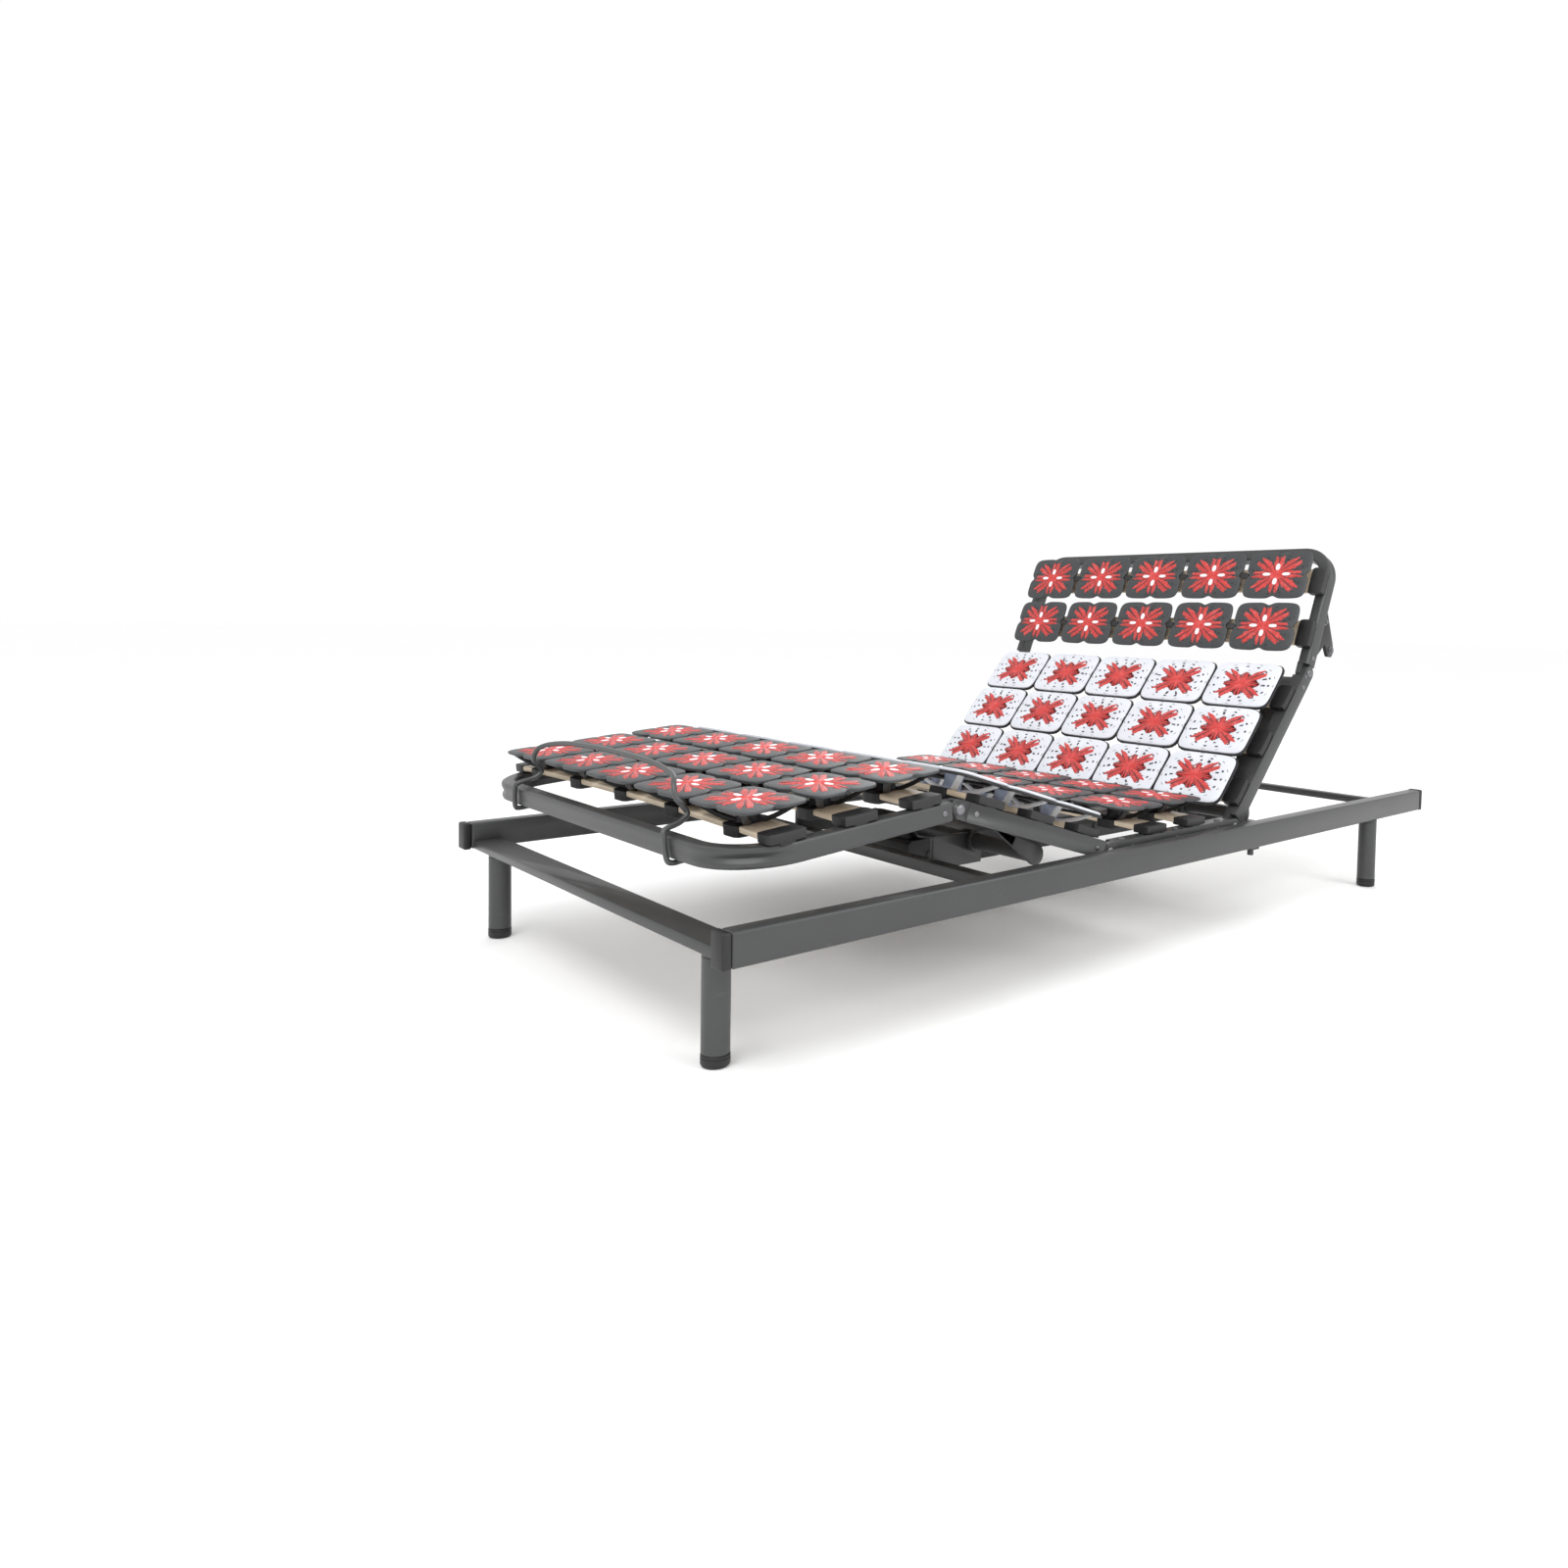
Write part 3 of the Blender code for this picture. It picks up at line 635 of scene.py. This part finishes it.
def add_spring(shape, centre, half, low, top, sizes):
    """Post, four bowed struts towards the plate corners and the clip round the slat."""
    rise = top - sizes.plate - low
    profile = [(0.6, 0.0), (1.25, 0.0), (1.3, 0.10), (1.0, 0.28), (0.92, 0.60), (1.05, 0.86), (1.4, 0.97),
               (0.9, 0.99)]
    post = [(sizes.post * a, low + rise * b) for a, b in profile]
    shape.loop(turned(post, 16, (*centre, 0.0)), POST_SLOT)
    t = np.linspace(0.0, 1.0, 9)
    root, run, foot, spare, bow = 0.16, 0.62, 0.004, 0.006, 1.5
    reach, climb = root + run * t, low + foot + (rise - spare) * t ** bow
    outline = ring(sizes.strut / 2, sizes.strut * 0.32, 3.0, 8)
    for sx in (-1, 1):
        for sy in (-1, 1):
            path = np.stack([centre[0] + sx * half[0] * reach, centre[1] + sy * half[1] * reach, climb], -1)
            shape.loop(tube(path, outline))
    shape.loop(block((*centre, low - CLIP_DROP), CLIP_HALF, 6.0), CLIP_SLOT)


def add_tray(shape, centre, half, top, sizes):
    """Black tray edge under a white plate: a flat ring that shows as a dark line round it."""
    t, outer = module_outline(64)
    inside, under, over = 0.80, 0.0035, 0.0002
    across = np.array([inside, inside, 1.0, 1.0])
    level = top - PLATE_DROP - sizes.plate - np.array([under, over, over, under])
    r = outer[None] * across[:, None]
    grid = np.stack([centre[0] + (half[0] + sizes.tray) * r * np.cos(t),
                     centre[1] + (half[1] + sizes.tray) * r * np.sin(t), level[:, None] + 0 * t], axis=-1)
    shape.loop(grid, CLIP_SLOT, capped=False)


def add_link(shape, x, s, top, gap):
    """Small black link that joins neighbouring plates of a row."""
    drop, half = 0.0075, (gap * 0.95, 0.0065, 0.0030)
    shape.loop(block((x, s, top - drop), half, 4.0), CLIP_SLOT)


class BEDBASE_OT_spring_modules(bpy.types.Operator):
    """Builds every row of spring modules: plates, star inserts and bowed springs"""

    bl_idname = "bedbase.spring_modules"
    bl_label = "Spring Modules"

    def execute(self, context):
        sizes = context.scene.bedbase_modules
        for node in ROW_NODES:
            section = section_of(node)
            white = any(part in WHITE_SECTIONS for part in node.split("_"))
            low, high = section.measure(node)
            pitch = (high[0] - low[0] + sizes.gap) / sizes.across
            spread = sizes.spread if white else 0.0
            half = ((pitch - sizes.gap) / 2 + spread, (high[1] - low[1]) / 2 + spread)
            s, top, foot = (low[1] + high[1]) / 2, high[2], low[2]
            plates, inserts, springs = Shape(section), Shape(section), Shape(section)
            for k in range(sizes.across):
                x = low[0] + (pitch - sizes.gap) / 2 + k * pitch
                bow = (1 - (x / SLAT_HALF_LENGTH) ** 2) * SLAT_CAMBER
                add_plate(plates, (x, s), half, top, sizes, 0.0 if white else sizes.notch)
                add_insert(inserts, (x, s), half, top, white)
                add_spring(springs, (x, s), half, foot - SLAT_CAMBER + bow, top, sizes)
                if white:
                    add_tray(springs, (x, s), half, top, sizes)
                else:
                    add_petals(inserts, (x, s), half, top)
                if k:
                    add_link(springs, x - pitch / 2, s, top, sizes.gap)
            tag = node.replace("module_row_", "")
            slot = "white_plastic" if white else "anthracite_plastic"
            plate = plates.build("plates_" + tag, [FINISH["white_plate" if white else "dark_plate"]])
            settle(plate, section.body, slot, node)
            stars = inserts.build("inserts_" + tag, [FINISH["insert"], FINISH["white_strut"]])
            settle(stars, section.body, slot)
            arms = FINISH["white_strut" if white else "black_plastic"]
            post = FINISH["post_blue" if white else "black_plastic"]
            spring = springs.build("springs_" + tag, [arms, post, FINISH["black_plastic"]])
            settle(spring, section.body, slot)
        return {"FINISHED"}


# ---- slats ------------------------------------------------------------------
# Half sizes, then how far in from the slat's end and how far up; the lip stands past its long edges.
CUP_HALF, CUP_INSET, CUP_RISE, CUP_LIP = (0.0165, 0.0068), 0.013, 0.0047, 0.003
FOOT_HALF, FOOT_INSET, FOOT_RISE = (0.0105, 0.014, 0.0045), 0.0075, 0.001


def add_holders(shape, low, high, tube_top):
    """Black cup over each end of a slat, and its foot on the side tube."""
    s, half_s = (low[1] + high[1]) / 2, (high[1] - low[1]) / 2 + CUP_LIP
    for side in (-1, 1):
        cup = (side * (high[0] - CUP_INSET), s, low[2] + CUP_RISE)
        shape.loop(block(cup, (CUP_HALF[0], half_s, CUP_HALF[1]), 10.0))
        foot = (side * (high[0] - FOOT_INSET), s, tube_top + FOOT_RISE)
        shape.loop(block(foot, FOOT_HALF, 5.0, 0.2))


class BEDBASE_OT_slats(bpy.types.Operator):
    """Finishes the beech slats and adds the black holders at their ends"""

    bl_idname = "bedbase.slats"
    bl_label = "Slats and Holders"

    def execute(self, context):
        tubes = context.scene.bedbase_tubes
        for node in SLAT_NODES:
            dress(node, "beech", 0.0018)
        for name, section in SECTIONS.items():
            shape = Shape(section)
            for node in (n for n in SLAT_NODES if section_of(n) is section):
                add_holders(shape, *section.measure(node), tubes.height / 2)
            holders = shape.build("slat_holders_" + name, [FINISH["black_plastic"]])
            settle(holders, section.body, "black_plastic")
        return {"FINISHED"}


# ---- tube frames ------------------------------------------------------------
BEND_RADIUS = {"leg": 0.095, "head": 0.062}
TUBE_START = 0.0165  # full tube begins about this far past its hinge line
TONGUE_EASE, TONGUE_OVERLAP = 0.0004, 0.004  # held in from the tube's faces, carried on inside it

# CAD pieces that keep their shape: starts of their names, finish, width of the eased edge, bevel steps.
KEPT_PIECES = (
    (("side_rail", "foot_cross", "head_cross", "cross_bar"), "frame_paint", 0.0012, 2),
    (("seat_tube", "thigh_frame", "back_frame"), "frame_paint", 0.0022, 3),
    (("thigh_lift", "back_lift"), "dark_steel", 0.0008, 2),
    (("rail_cap",), "black_plastic", 0.0012, 2),
    (("head_lever",), "black_steel", 0.0012, 2),
    (("anchor_bolt",), "dark_steel", 0.0006, 2),
    (("motor_housing",), "black_plastic", 0.004, 3),
)


def loop_path(x, start, end, radius, steps=22, straight=11):
    """Centre line of a tube loop: straight legs joined by two quarter-circle bends."""
    a = np.linspace(0.0, math.pi / 2, steps)
    right = np.stack([x - radius + radius * np.cos(a), end - radius + radius * np.sin(a)], -1)
    left = right[::-1] * np.array([-1.0, 1.0])
    legs = np.linspace(start, end - radius, straight + 1)[:-1]
    lead = np.stack([np.full(straight, x), legs], -1)
    points = np.vstack([lead, right, left, lead[::-1] * np.array([-1.0, 1.0])])
    bend = np.concatenate([np.zeros(straight), np.sin(a * 2), np.sin(a * 2), np.zeros(straight)])
    return np.column_stack([points, np.zeros(len(points))]), bend


def tube_outline(tubes, bend):
    """Rounded tube section; in a bend its outside wall creases inwards between two ridges."""
    outline = ring(tubes.width / 2, tubes.height / 2, tubes.corner, 40)
    side = outline[:, 0] / (tubes.width / 2)
    level = outline[:, 1] / (tubes.height / 2)
    crease_width, ridge_level, ridge_width, ridge_rise = 0.30, 0.62, 0.20, 0.0006
    crease = np.clip(side, 0.0, 1.0) ** 2 * np.exp(-(level / crease_width) ** 2)
    full = np.broadcast_to(outline, (len(bend),) + outline.shape).copy()
    full[..., 0] -= tubes.crimp * bend[:, None] * crease[None]
    ridge = np.clip(side, 0.0, 1.0) ** 2 * np.exp(-((np.abs(level) - ridge_level) / ridge_width) ** 2)
    full[..., 0] += ridge_rise * bend[:, None] * ridge[None]
    return full


def add_tongue(shape, tubes, x_range, root):
    """Half-lap hinge tongue: a slab rounded about the hinge line that runs back into its tube."""
    a = np.linspace(-math.pi / 2, math.pi / 2, 13)
    r = tubes.height / 2 - TONGUE_EASE
    s = np.concatenate([-r * np.cos(a), [root, root]])
    h = np.concatenate([r * np.sin(a), [r, -r]])
    grid = np.zeros((2, len(s), 3))
    for row, x in enumerate(x_range):
        grid[row, :, 0], grid[row, :, 1], grid[row, :, 2] = x, s, h
    shape.loop(grid)


class BEDBASE_OT_tube_loops(bpy.types.Operator):
    """Bends the leg and head loops from tube, with creased corners and hinge tongues"""

    bl_idname = "bedbase.tube_loops"
    bl_label = "Tube Loops"

    def execute(self, context):
        tubes = context.scene.bedbase_tubes
        for name, radius in BEND_RADIUS.items():
            section, node = SECTIONS[name], name + "_frame"
            low, high = section.measure(node)
            x = high[0] - tubes.width / 2
            start = low[1] + tubes.height / 2 + TUBE_START
            path, bend = loop_path(x, start, high[1] - tubes.width / 2, radius)
            shape = Shape(section)
            shape.loop(tube(path, tube_outline(tubes, bend)))
            for side in (-1, 1):
                inner = sorted((side * (x - tubes.width / 2 + TONGUE_EASE), side * (x - TONGUE_EASE)))
                add_tongue(shape, tubes, inner, start + TONGUE_OVERLAP)
            loop = shape.build(name + "_loop", [FINISH["frame_paint"]], 35.0)
            settle(loop, section.body, "frame_paint", node)
        return {"FINISHED"}


class BEDBASE_OT_base_frame(bpy.types.Operator):
    """Finishes the rails, cross bars, straight tubes, lifts, caps, lever, anchor bolt and housing"""

    bl_idname = "bedbase.base_frame"
    bl_label = "Frame Finish"

    def execute(self, context):
        for names, finish, edge, steps in KEPT_PIECES:
            for node in (n for n in NODES if n.startswith(names)):
                dress(node, finish, edge, steps)
        return {"FINISHED"}


# ---- legs -------------------------------------------------------------------
def grooved_top(radius, top, depth, levels):
    """Upper end of a leg or glide: a shallow groove at levels below the top, an eased rim, the face."""
    a, b, c, d = (top - level for level in levels)
    return [(radius, a), (radius - depth, b), (radius - depth, c), (radius, d),
            (radius, top - depth), (radius - depth, top), (radius * 0.5, top)]


def stand_round(node, suffix, centre, rounds, finish):
    """Turned piece on an upright axis, in place of the CAD node."""
    shape = Shape()
    shape.loop(turned(rounds, 48, (centre[0], centre[1], 0.0)))
    settle(shape.build(node + suffix, [FINISH[finish]]), "base", finish, node)


class BEDBASE_OT_legs(bpy.types.Operator):
    """Turns the four legs, each with a groove near its top and a plastic glide under it"""

    bl_idname = "bedbase.legs"
    bl_label = "Legs"

    def execute(self, context):
        for node in sorted(n for n in NODES if n.startswith(("leg_foot", "leg_head"))):
            low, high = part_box(node)
            centre = (Vector(low) + Vector(high)) / 2
            r, foot = (high[0] - low[0]) / 2, low[2]
            leg = [(r * 0.5, foot), (r - 0.001, foot), (r, foot + 0.001)]
            leg += grooved_top(r, high[2], 0.0006, (0.0070, 0.0064, 0.0054, 0.0048))
            stand_round(node, "_tube", centre, leg, "frame_paint")
            glide_node = node.replace("leg_", "glide_")
            low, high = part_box(glide_node)
            r = (high[0] - low[0]) / 2
            glide = [(r * 0.4, 0.0), (r - 0.0035, 0.0), (r - 0.0012, 0.0012), (r, 0.0035)]
            glide += grooved_top(r, high[2], 0.0008, (0.0050, 0.0044, 0.0036, 0.0030))
            stand_round(glide_node, "_cup", centre, glide, "black_plastic")
        return {"FINISHED"}


# ---- small hardware ---------------------------------------------------------
HEAD_SINK = 0.0006  # pins and rivets start this far inside the tube's face
SEAT_SCREWS = (0.045, 0.20, 0.335)  # along the seat tubes
COLLARS, LIFT_BOLT = (0.188, 0.212, 0.066), 0.350  # out along a lift's shaft
BAR_SCREWS, BAR_MIDDLE, SCREW_SEAT = (0.372, 0.398), 0.0125, 0.020  # out along a bar, in from its edge, up
LEVER_BOLTS = ((0.128, -0.026), (0.083, -0.074))

# Pins and rivets: section, then distance from its hinge, height and share of a full pin's radius.
PINS = {
    "knee": ("leg", ((0.0, 0.0, 1.0), (0.031, 0.0, 0.55))),
    "thigh": ("thigh", ((0.0, 0.0, 0.9), (0.335, 0.0, 0.55), (0.036, 0.0, 0.5))),
    "back": ("back", ((0.0, 0.0, 0.9), (0.354, -0.002, 0.6), (0.376, 0.006, 0.45))),
    "neck": ("head", ((0.0, 0.0, 1.0), (0.034, 0.0, 0.6))),
    "seat": ("seat", ((0.06, 0.0, 0.6), (0.19, 0.0, 0.6), (0.32, 0.0, 0.6))),
}


def screw_head(crown, shoulder, rim, sunk):
    """Profile of a pan head: flat crown, sloped shoulder, rim and the part let into the piece."""
    return [(0.002, crown), shoulder, rim, (rim[0], -sunk), (0.003, -sunk)]


def add_head(shape, place, radius, side):
    """Domed rivet or bolt head facing out along X: a short rim, then a quarter ellipse."""
    sunk, rim, dome = 0.002, 0.0008, radius * 0.34
    a = np.linspace(0.0, math.pi / 2, 6)
    profile = [(radius * 0.3, -sunk), (radius, -sunk), (radius, rim)]
    profile += [(max(radius * math.cos(k), radius * 0.05), rim + dome * math.sin(k)) for k in a]
    shape.loop(turned_on_x(profile, 20, place, side))


def add_hex(shape, place, radius, depth, side):
    """Hexagon bolt head on X with a washer under it."""
    washer, ease = 0.0012, 0.0004
    for size, start, stop, sides in ((1.45, 0.0, washer, 24), (1.0, washer, depth, 6)):
        rows = [(size, start), (size, stop - ease), (size * 0.92, stop)]
        profile = [(radius * wide, out) for wide, out in rows]
        shape.loop(turned_on_x(profile, sides, place, side))


def section_half_width():
    """Distance from the centre line to the outer face of the section tubes."""
    return SECTIONS["leg"].measure("leg_frame")[1][0]


class BEDBASE_OT_hinge_pins(bpy.types.Operator):
    """Adds the hinge pins, the rivets of the section and seat tubes and the seat's screws"""

    bl_idname = "bedbase.hinge_pins"
    bl_label = "Hinge Pins"

    def execute(self, context):
        tubes = context.scene.bedbase_tubes
        face = section_half_width()
        for tag, (name, spots) in PINS.items():
            section = SECTIONS[name]
            shape = Shape(section)
            for side in (-1, 1):
                for s, h, size in spots:
                    add_head(shape, (side * (face - HEAD_SINK), s, h), tubes.pin * size, side)
            settle(shape.build("pins_" + tag, [FINISH["bolt"]]), section.body, "dark_steel")
        seat = Shape(SECTIONS["seat"])
        screw = screw_head(0.0022, (0.0048, 0.0018), (0.0062, 0.0004), 0.001)
        for side in (-1, 1):
            for s in SEAT_SCREWS:
                seat.loop(turned(screw, 16, (side * (face - tubes.width / 2), s, tubes.height / 2)))
        settle(seat.build("seat_screws", [FINISH["bolt"]]), "base", "dark_steel")
        return {"FINISHED"}


class BEDBASE_OT_drive(bpy.types.Operator):
    """Adds the housing's ribs, screws and seams, and the collars and bolts of the lifts"""

    bl_idname = "bedbase.drive"
    bl_label = "Drive Details"

    def execute(self, context):
        low, high = (np.array(v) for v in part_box("motor_housing"))
        mid = (low + high) / 2
        saddle, rib_margin, screw_margin, screw_height, seam_height = 0.040, 0.09, 0.05, 0.026, 0.034
        deck = high[2] - saddle
        trim = Shape()
        for y in np.linspace(low[1] + rib_margin, high[1] - rib_margin, 9):
            trim.loop(block((mid[0], y, deck + 0.0005), (0.058, 0.0035, 0.0022), 8.0, 0.4))
        screw = screw_head(0.0028, (0.0065, 0.0026), (0.0078, 0.001), 0.002)
        for side in (-1, 1):
            for y in np.linspace(low[1] + screw_margin, high[1] - screw_margin, 6):
                place = (mid[0] + side * (high[0] - low[0]) / 2, y, low[2] + screw_height)
                trim.loop(turned_on_x(screw, 16, place, side))
            trim.loop(block((mid[0] + side * (high[0] - mid[0]), mid[1], low[2] + seam_height),
                            (0.0012, (high[1] - low[1]) / 2 - 0.03, 0.0016), 8.0, 0.4))
        settle(trim.build("housing_trim", [FINISH["black_plastic"]]), "base", "black_plastic")
        collar = [(0.0142, -0.005), (0.0178, -0.005), (0.0184, -0.004), (0.0184, 0.004),
                  (0.0178, 0.005), (0.0142, 0.005)]
        for body in ("thigh_lift", "back_lift"):
            _, y, z = JOINTS[body + "_turn"]["pos_m"]
            shape = Shape()
            for side in (-1, 1):
                for x in COLLARS:
                    shape.loop(turned_on_x(collar, 32, (side * x, y, z), 1), capped=False)
                add_head(shape, (side * LIFT_BOLT, y, z), 0.010, -side)
            settle(shape.build(body + "_collars", [FINISH["dark_steel"]]), body, "dark_steel")
        return {"FINISHED"}


class BEDBASE_OT_frame_bolts(bpy.types.Operator):
    """Adds the screws and bolts of the cross bars and the bolts of the head lever"""

    bl_idname = "bedbase.frame_bolts"
    bl_label = "Frame Bolts"

    def execute(self, context):
        shape = Shape()
        rail_low, rail_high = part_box("side_rail_right")
        inside = rail_low[0]
        z = (rail_low[2] + rail_high[2]) / 2
        screw = screw_head(0.0030, (0.0050, 0.0028), (0.0066, 0.0012), 0.001)
        for node in ("cross_bar_foot", "cross_bar_head"):
            low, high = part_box(node)
            y = low[1] + BAR_MIDDLE if node == "cross_bar_foot" else high[1] - BAR_MIDDLE
            for side in (-1, 1):
                for x in BAR_SCREWS:
                    shape.loop(turned(screw, 20, (side * x, y, low[2] + SCREW_SEAT)))
                add_hex(shape, (side * inside, y, z + 0.006), 0.0055, 0.0030, -side)
        settle(shape.build("cross_bar_bolts", [FINISH["bolt"]]), "base", "dark_steel")
        lever = SECTIONS["head"]
        shape = Shape(lever)
        x = lever.measure("head_lever")[1][0]
        for s, h in LEVER_BOLTS:
            add_hex(shape, (x, s, h), 0.0052, 0.0045, 1)
        settle(shape.build("lever_bolts", [FINISH["bolt"]]), lever.body, "dark_steel")
        return {"FINISHED"}


class BEDBASE_OT_retainer(bpy.types.Operator):
    """Bends the mattress retainer from round wire, hooked under the foot tube"""

    bl_idname = "bedbase.retainer"
    bl_label = "Mattress Retainer"

    def execute(self, context):
        tubes = context.scene.bedbase_tubes
        section = SECTIONS["leg"]
        low, high = section.measure("mattress_retainer")
        foot = section.measure("leg_frame")[1][1] - tubes.width / 2
        r, top, reach = tubes.wire, tubes.height / 2, high[0] - tubes.wire
        under, lean = low[2] + r, high[2] - tubes.droop
        # Half of the wire's route, listed from under the foot tube up to the middle of the arch.
        half = [(reach, foot - 0.022, under), (reach, foot - 0.004, under), (reach, foot + 0.0105, under),
                (reach - 0.002, foot + 0.0176, -top + 0.001), (reach - 0.006, foot + 0.0176, top - 0.002),
                (reach - 0.010, foot + 0.0130, top + 0.0094), (reach - 0.014, foot - 0.012, top + 0.0140),
                (reach - 0.017, foot - 0.026, top + 0.0230), (reach - 0.019, foot - 0.020, top + 0.0350),
                (reach - 0.022, foot - 0.0125, top + 0.048), (reach - 0.031, foot - 0.016, top + 0.0640),
                (reach - 0.052, foot - 0.026, lean - 0.010), (reach - 0.112, foot - 0.034, lean - 0.003),
                (reach - 0.192, foot - 0.037, lean - 0.0005)]
        points = half + [(0.0, foot - 0.038, lean)] + [(-x, s, h) for x, s, h in reversed(half)]
        path = smooth_path(points, 8)
        shape = Shape(section)
        shape.loop(tube(path, ring(r, r, 2.0, 14), up=(0.02, 1.0, 0.05)))
        wire = shape.build("retainer_wire", [FINISH["wire_steel"]], 60.0)
        settle(wire, section.body, "dark_steel", "mattress_retainer")
        return {"FINISHED"}


# ---- stage ------------------------------------------------------------------
def add_light(name, place, aim, power, size):
    """Area light at a place, turned to face its aim."""
    light = bpy.data.lights.new(name, "AREA")
    light.energy, light.size = power, size
    obj = bpy.data.objects.new(name, light)
    bpy.context.scene.collection.objects.link(obj)
    obj.location = place
    obj.rotation_euler = (Vector(aim) - Vector(place)).to_track_quat("-Z", "Y").to_euler()


class BEDBASE_OT_stage(bpy.types.Operator):
    """Lays the pale floor, sets the studio light and the camera"""

    bl_idname = "bedbase.stage"
    bl_label = "Stage"

    def execute(self, context):
        studio = context.scene.bedbase_studio
        g = Graph("pale_floor")
        cloud = g.noise(0.7, 3.0)
        tone = g.mix(cloud, (0.965, 0.965, 0.965), (0.98, 0.98, 0.98))
        reach, drop = 40.0, 0.0005
        grid = np.array([[(-reach, -reach), (reach, -reach)], [(-reach, reach), (reach, reach)]])
        corners = np.dstack([grid, np.full((2, 2), -drop)]).reshape(-1, 3)
        mesh = bpy.data.meshes.new("floor")
        mesh.from_pydata(corners.tolist(), [], [(0, 1, 3, 2)])
        mesh.materials.append(g.finish(tone, cloud * 0.05 + 0.7))
        floor = bpy.data.objects.new("floor", mesh)
        context.scene.collection.objects.link(floor)
        world = bpy.data.worlds.new("studio")
        context.scene.world = world
        world.use_nodes = True
        world.node_tree.nodes["Background"].inputs["Color"].default_value = (1.0, 1.0, 1.0, 1.0)
        world.node_tree.nodes["Background"].inputs["Strength"].default_value = 1.02
        add_light("key_light", (1.2, -2.6, 3.2), (0.0, 0.0, 0.2), studio.light, 2.4)
        add_light("side_light", (3.4, 0.8, 2.0), (0.0, 0.0, 0.3), studio.light * 0.6, 2.0)
        add_light("back_light", (-2.6, 2.8, 2.8), (0.0, 0.0, 0.3), studio.light * 0.5, 2.4)
        lens = bpy.data.cameras.new("camera")
        lens.lens, lens.sensor_width = studio.lens, 36.0
        lens.shift_x, lens.shift_y = studio.shift
        camera = bpy.data.objects.new("camera", lens)
        context.scene.collection.objects.link(camera)
        camera.location = studio.place
        turn, dip, roll = (math.radians(v) for v in (studio.turn, studio.dip, studio.roll))
        ahead = Vector((-math.sin(turn) * math.cos(dip), math.cos(turn) * math.cos(dip), -math.sin(dip)))
        camera.rotation_euler = (ahead.to_track_quat("-Z", "Y") @ Quaternion((0, 0, 1), roll)).to_euler()
        context.scene.camera = camera
        context.scene.view_settings.view_transform = "Standard"
        return {"FINISHED"}


class BEDBASE_PT_sidebar(bpy.types.Panel):
    """Lists the pieces of the bed base and their settings"""

    bl_idname = "BEDBASE_PT_sidebar"
    bl_label = "Bed Base"
    bl_space_type = "VIEW_3D"
    bl_region_type = "UI"
    bl_category = "Bed Base"

    def draw(self, context):
        for group in GROUPS:
            data = getattr(context.scene, group)
            for name in data.__annotations__:
                self.layout.prop(data, name)
        for operator in OPERATORS:
            self.layout.operator(operator.bl_idname)


GROUPS = {
    "bedbase_colours": BedBaseColours,
    "bedbase_modules": SpringModuleSizes,
    "bedbase_tubes": TubeSizes,
    "bedbase_studio": StudioSettings,
}
OPERATORS = (
    BEDBASE_OT_stage, BEDBASE_OT_base_frame, BEDBASE_OT_tube_loops, BEDBASE_OT_legs, BEDBASE_OT_slats,
    BEDBASE_OT_spring_modules, BEDBASE_OT_hinge_pins, BEDBASE_OT_drive, BEDBASE_OT_frame_bolts,
    BEDBASE_OT_retainer,
)


def register():
    for cls in (*GROUPS.values(), *OPERATORS, BEDBASE_PT_sidebar):
        bpy.utils.register_class(cls)
    for name, cls in GROUPS.items():
        setattr(bpy.types.Scene, name, PointerProperty(type=cls))


def unregister():
    for name in GROUPS:
        delattr(bpy.types.Scene, name)
    for cls in (BEDBASE_PT_sidebar, *reversed(OPERATORS), *reversed(tuple(GROUPS.values()))):
        bpy.utils.unregister_class(cls)


def main():
    """Registers the add-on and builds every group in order."""
    register()
    mix_finishes(bpy.context.scene.bedbase_colours)
    for operator in OPERATORS:
        group, name = operator.bl_idname.split(".")
        getattr(getattr(bpy.ops, group), name)()


if __name__ == "__main__":
    main()
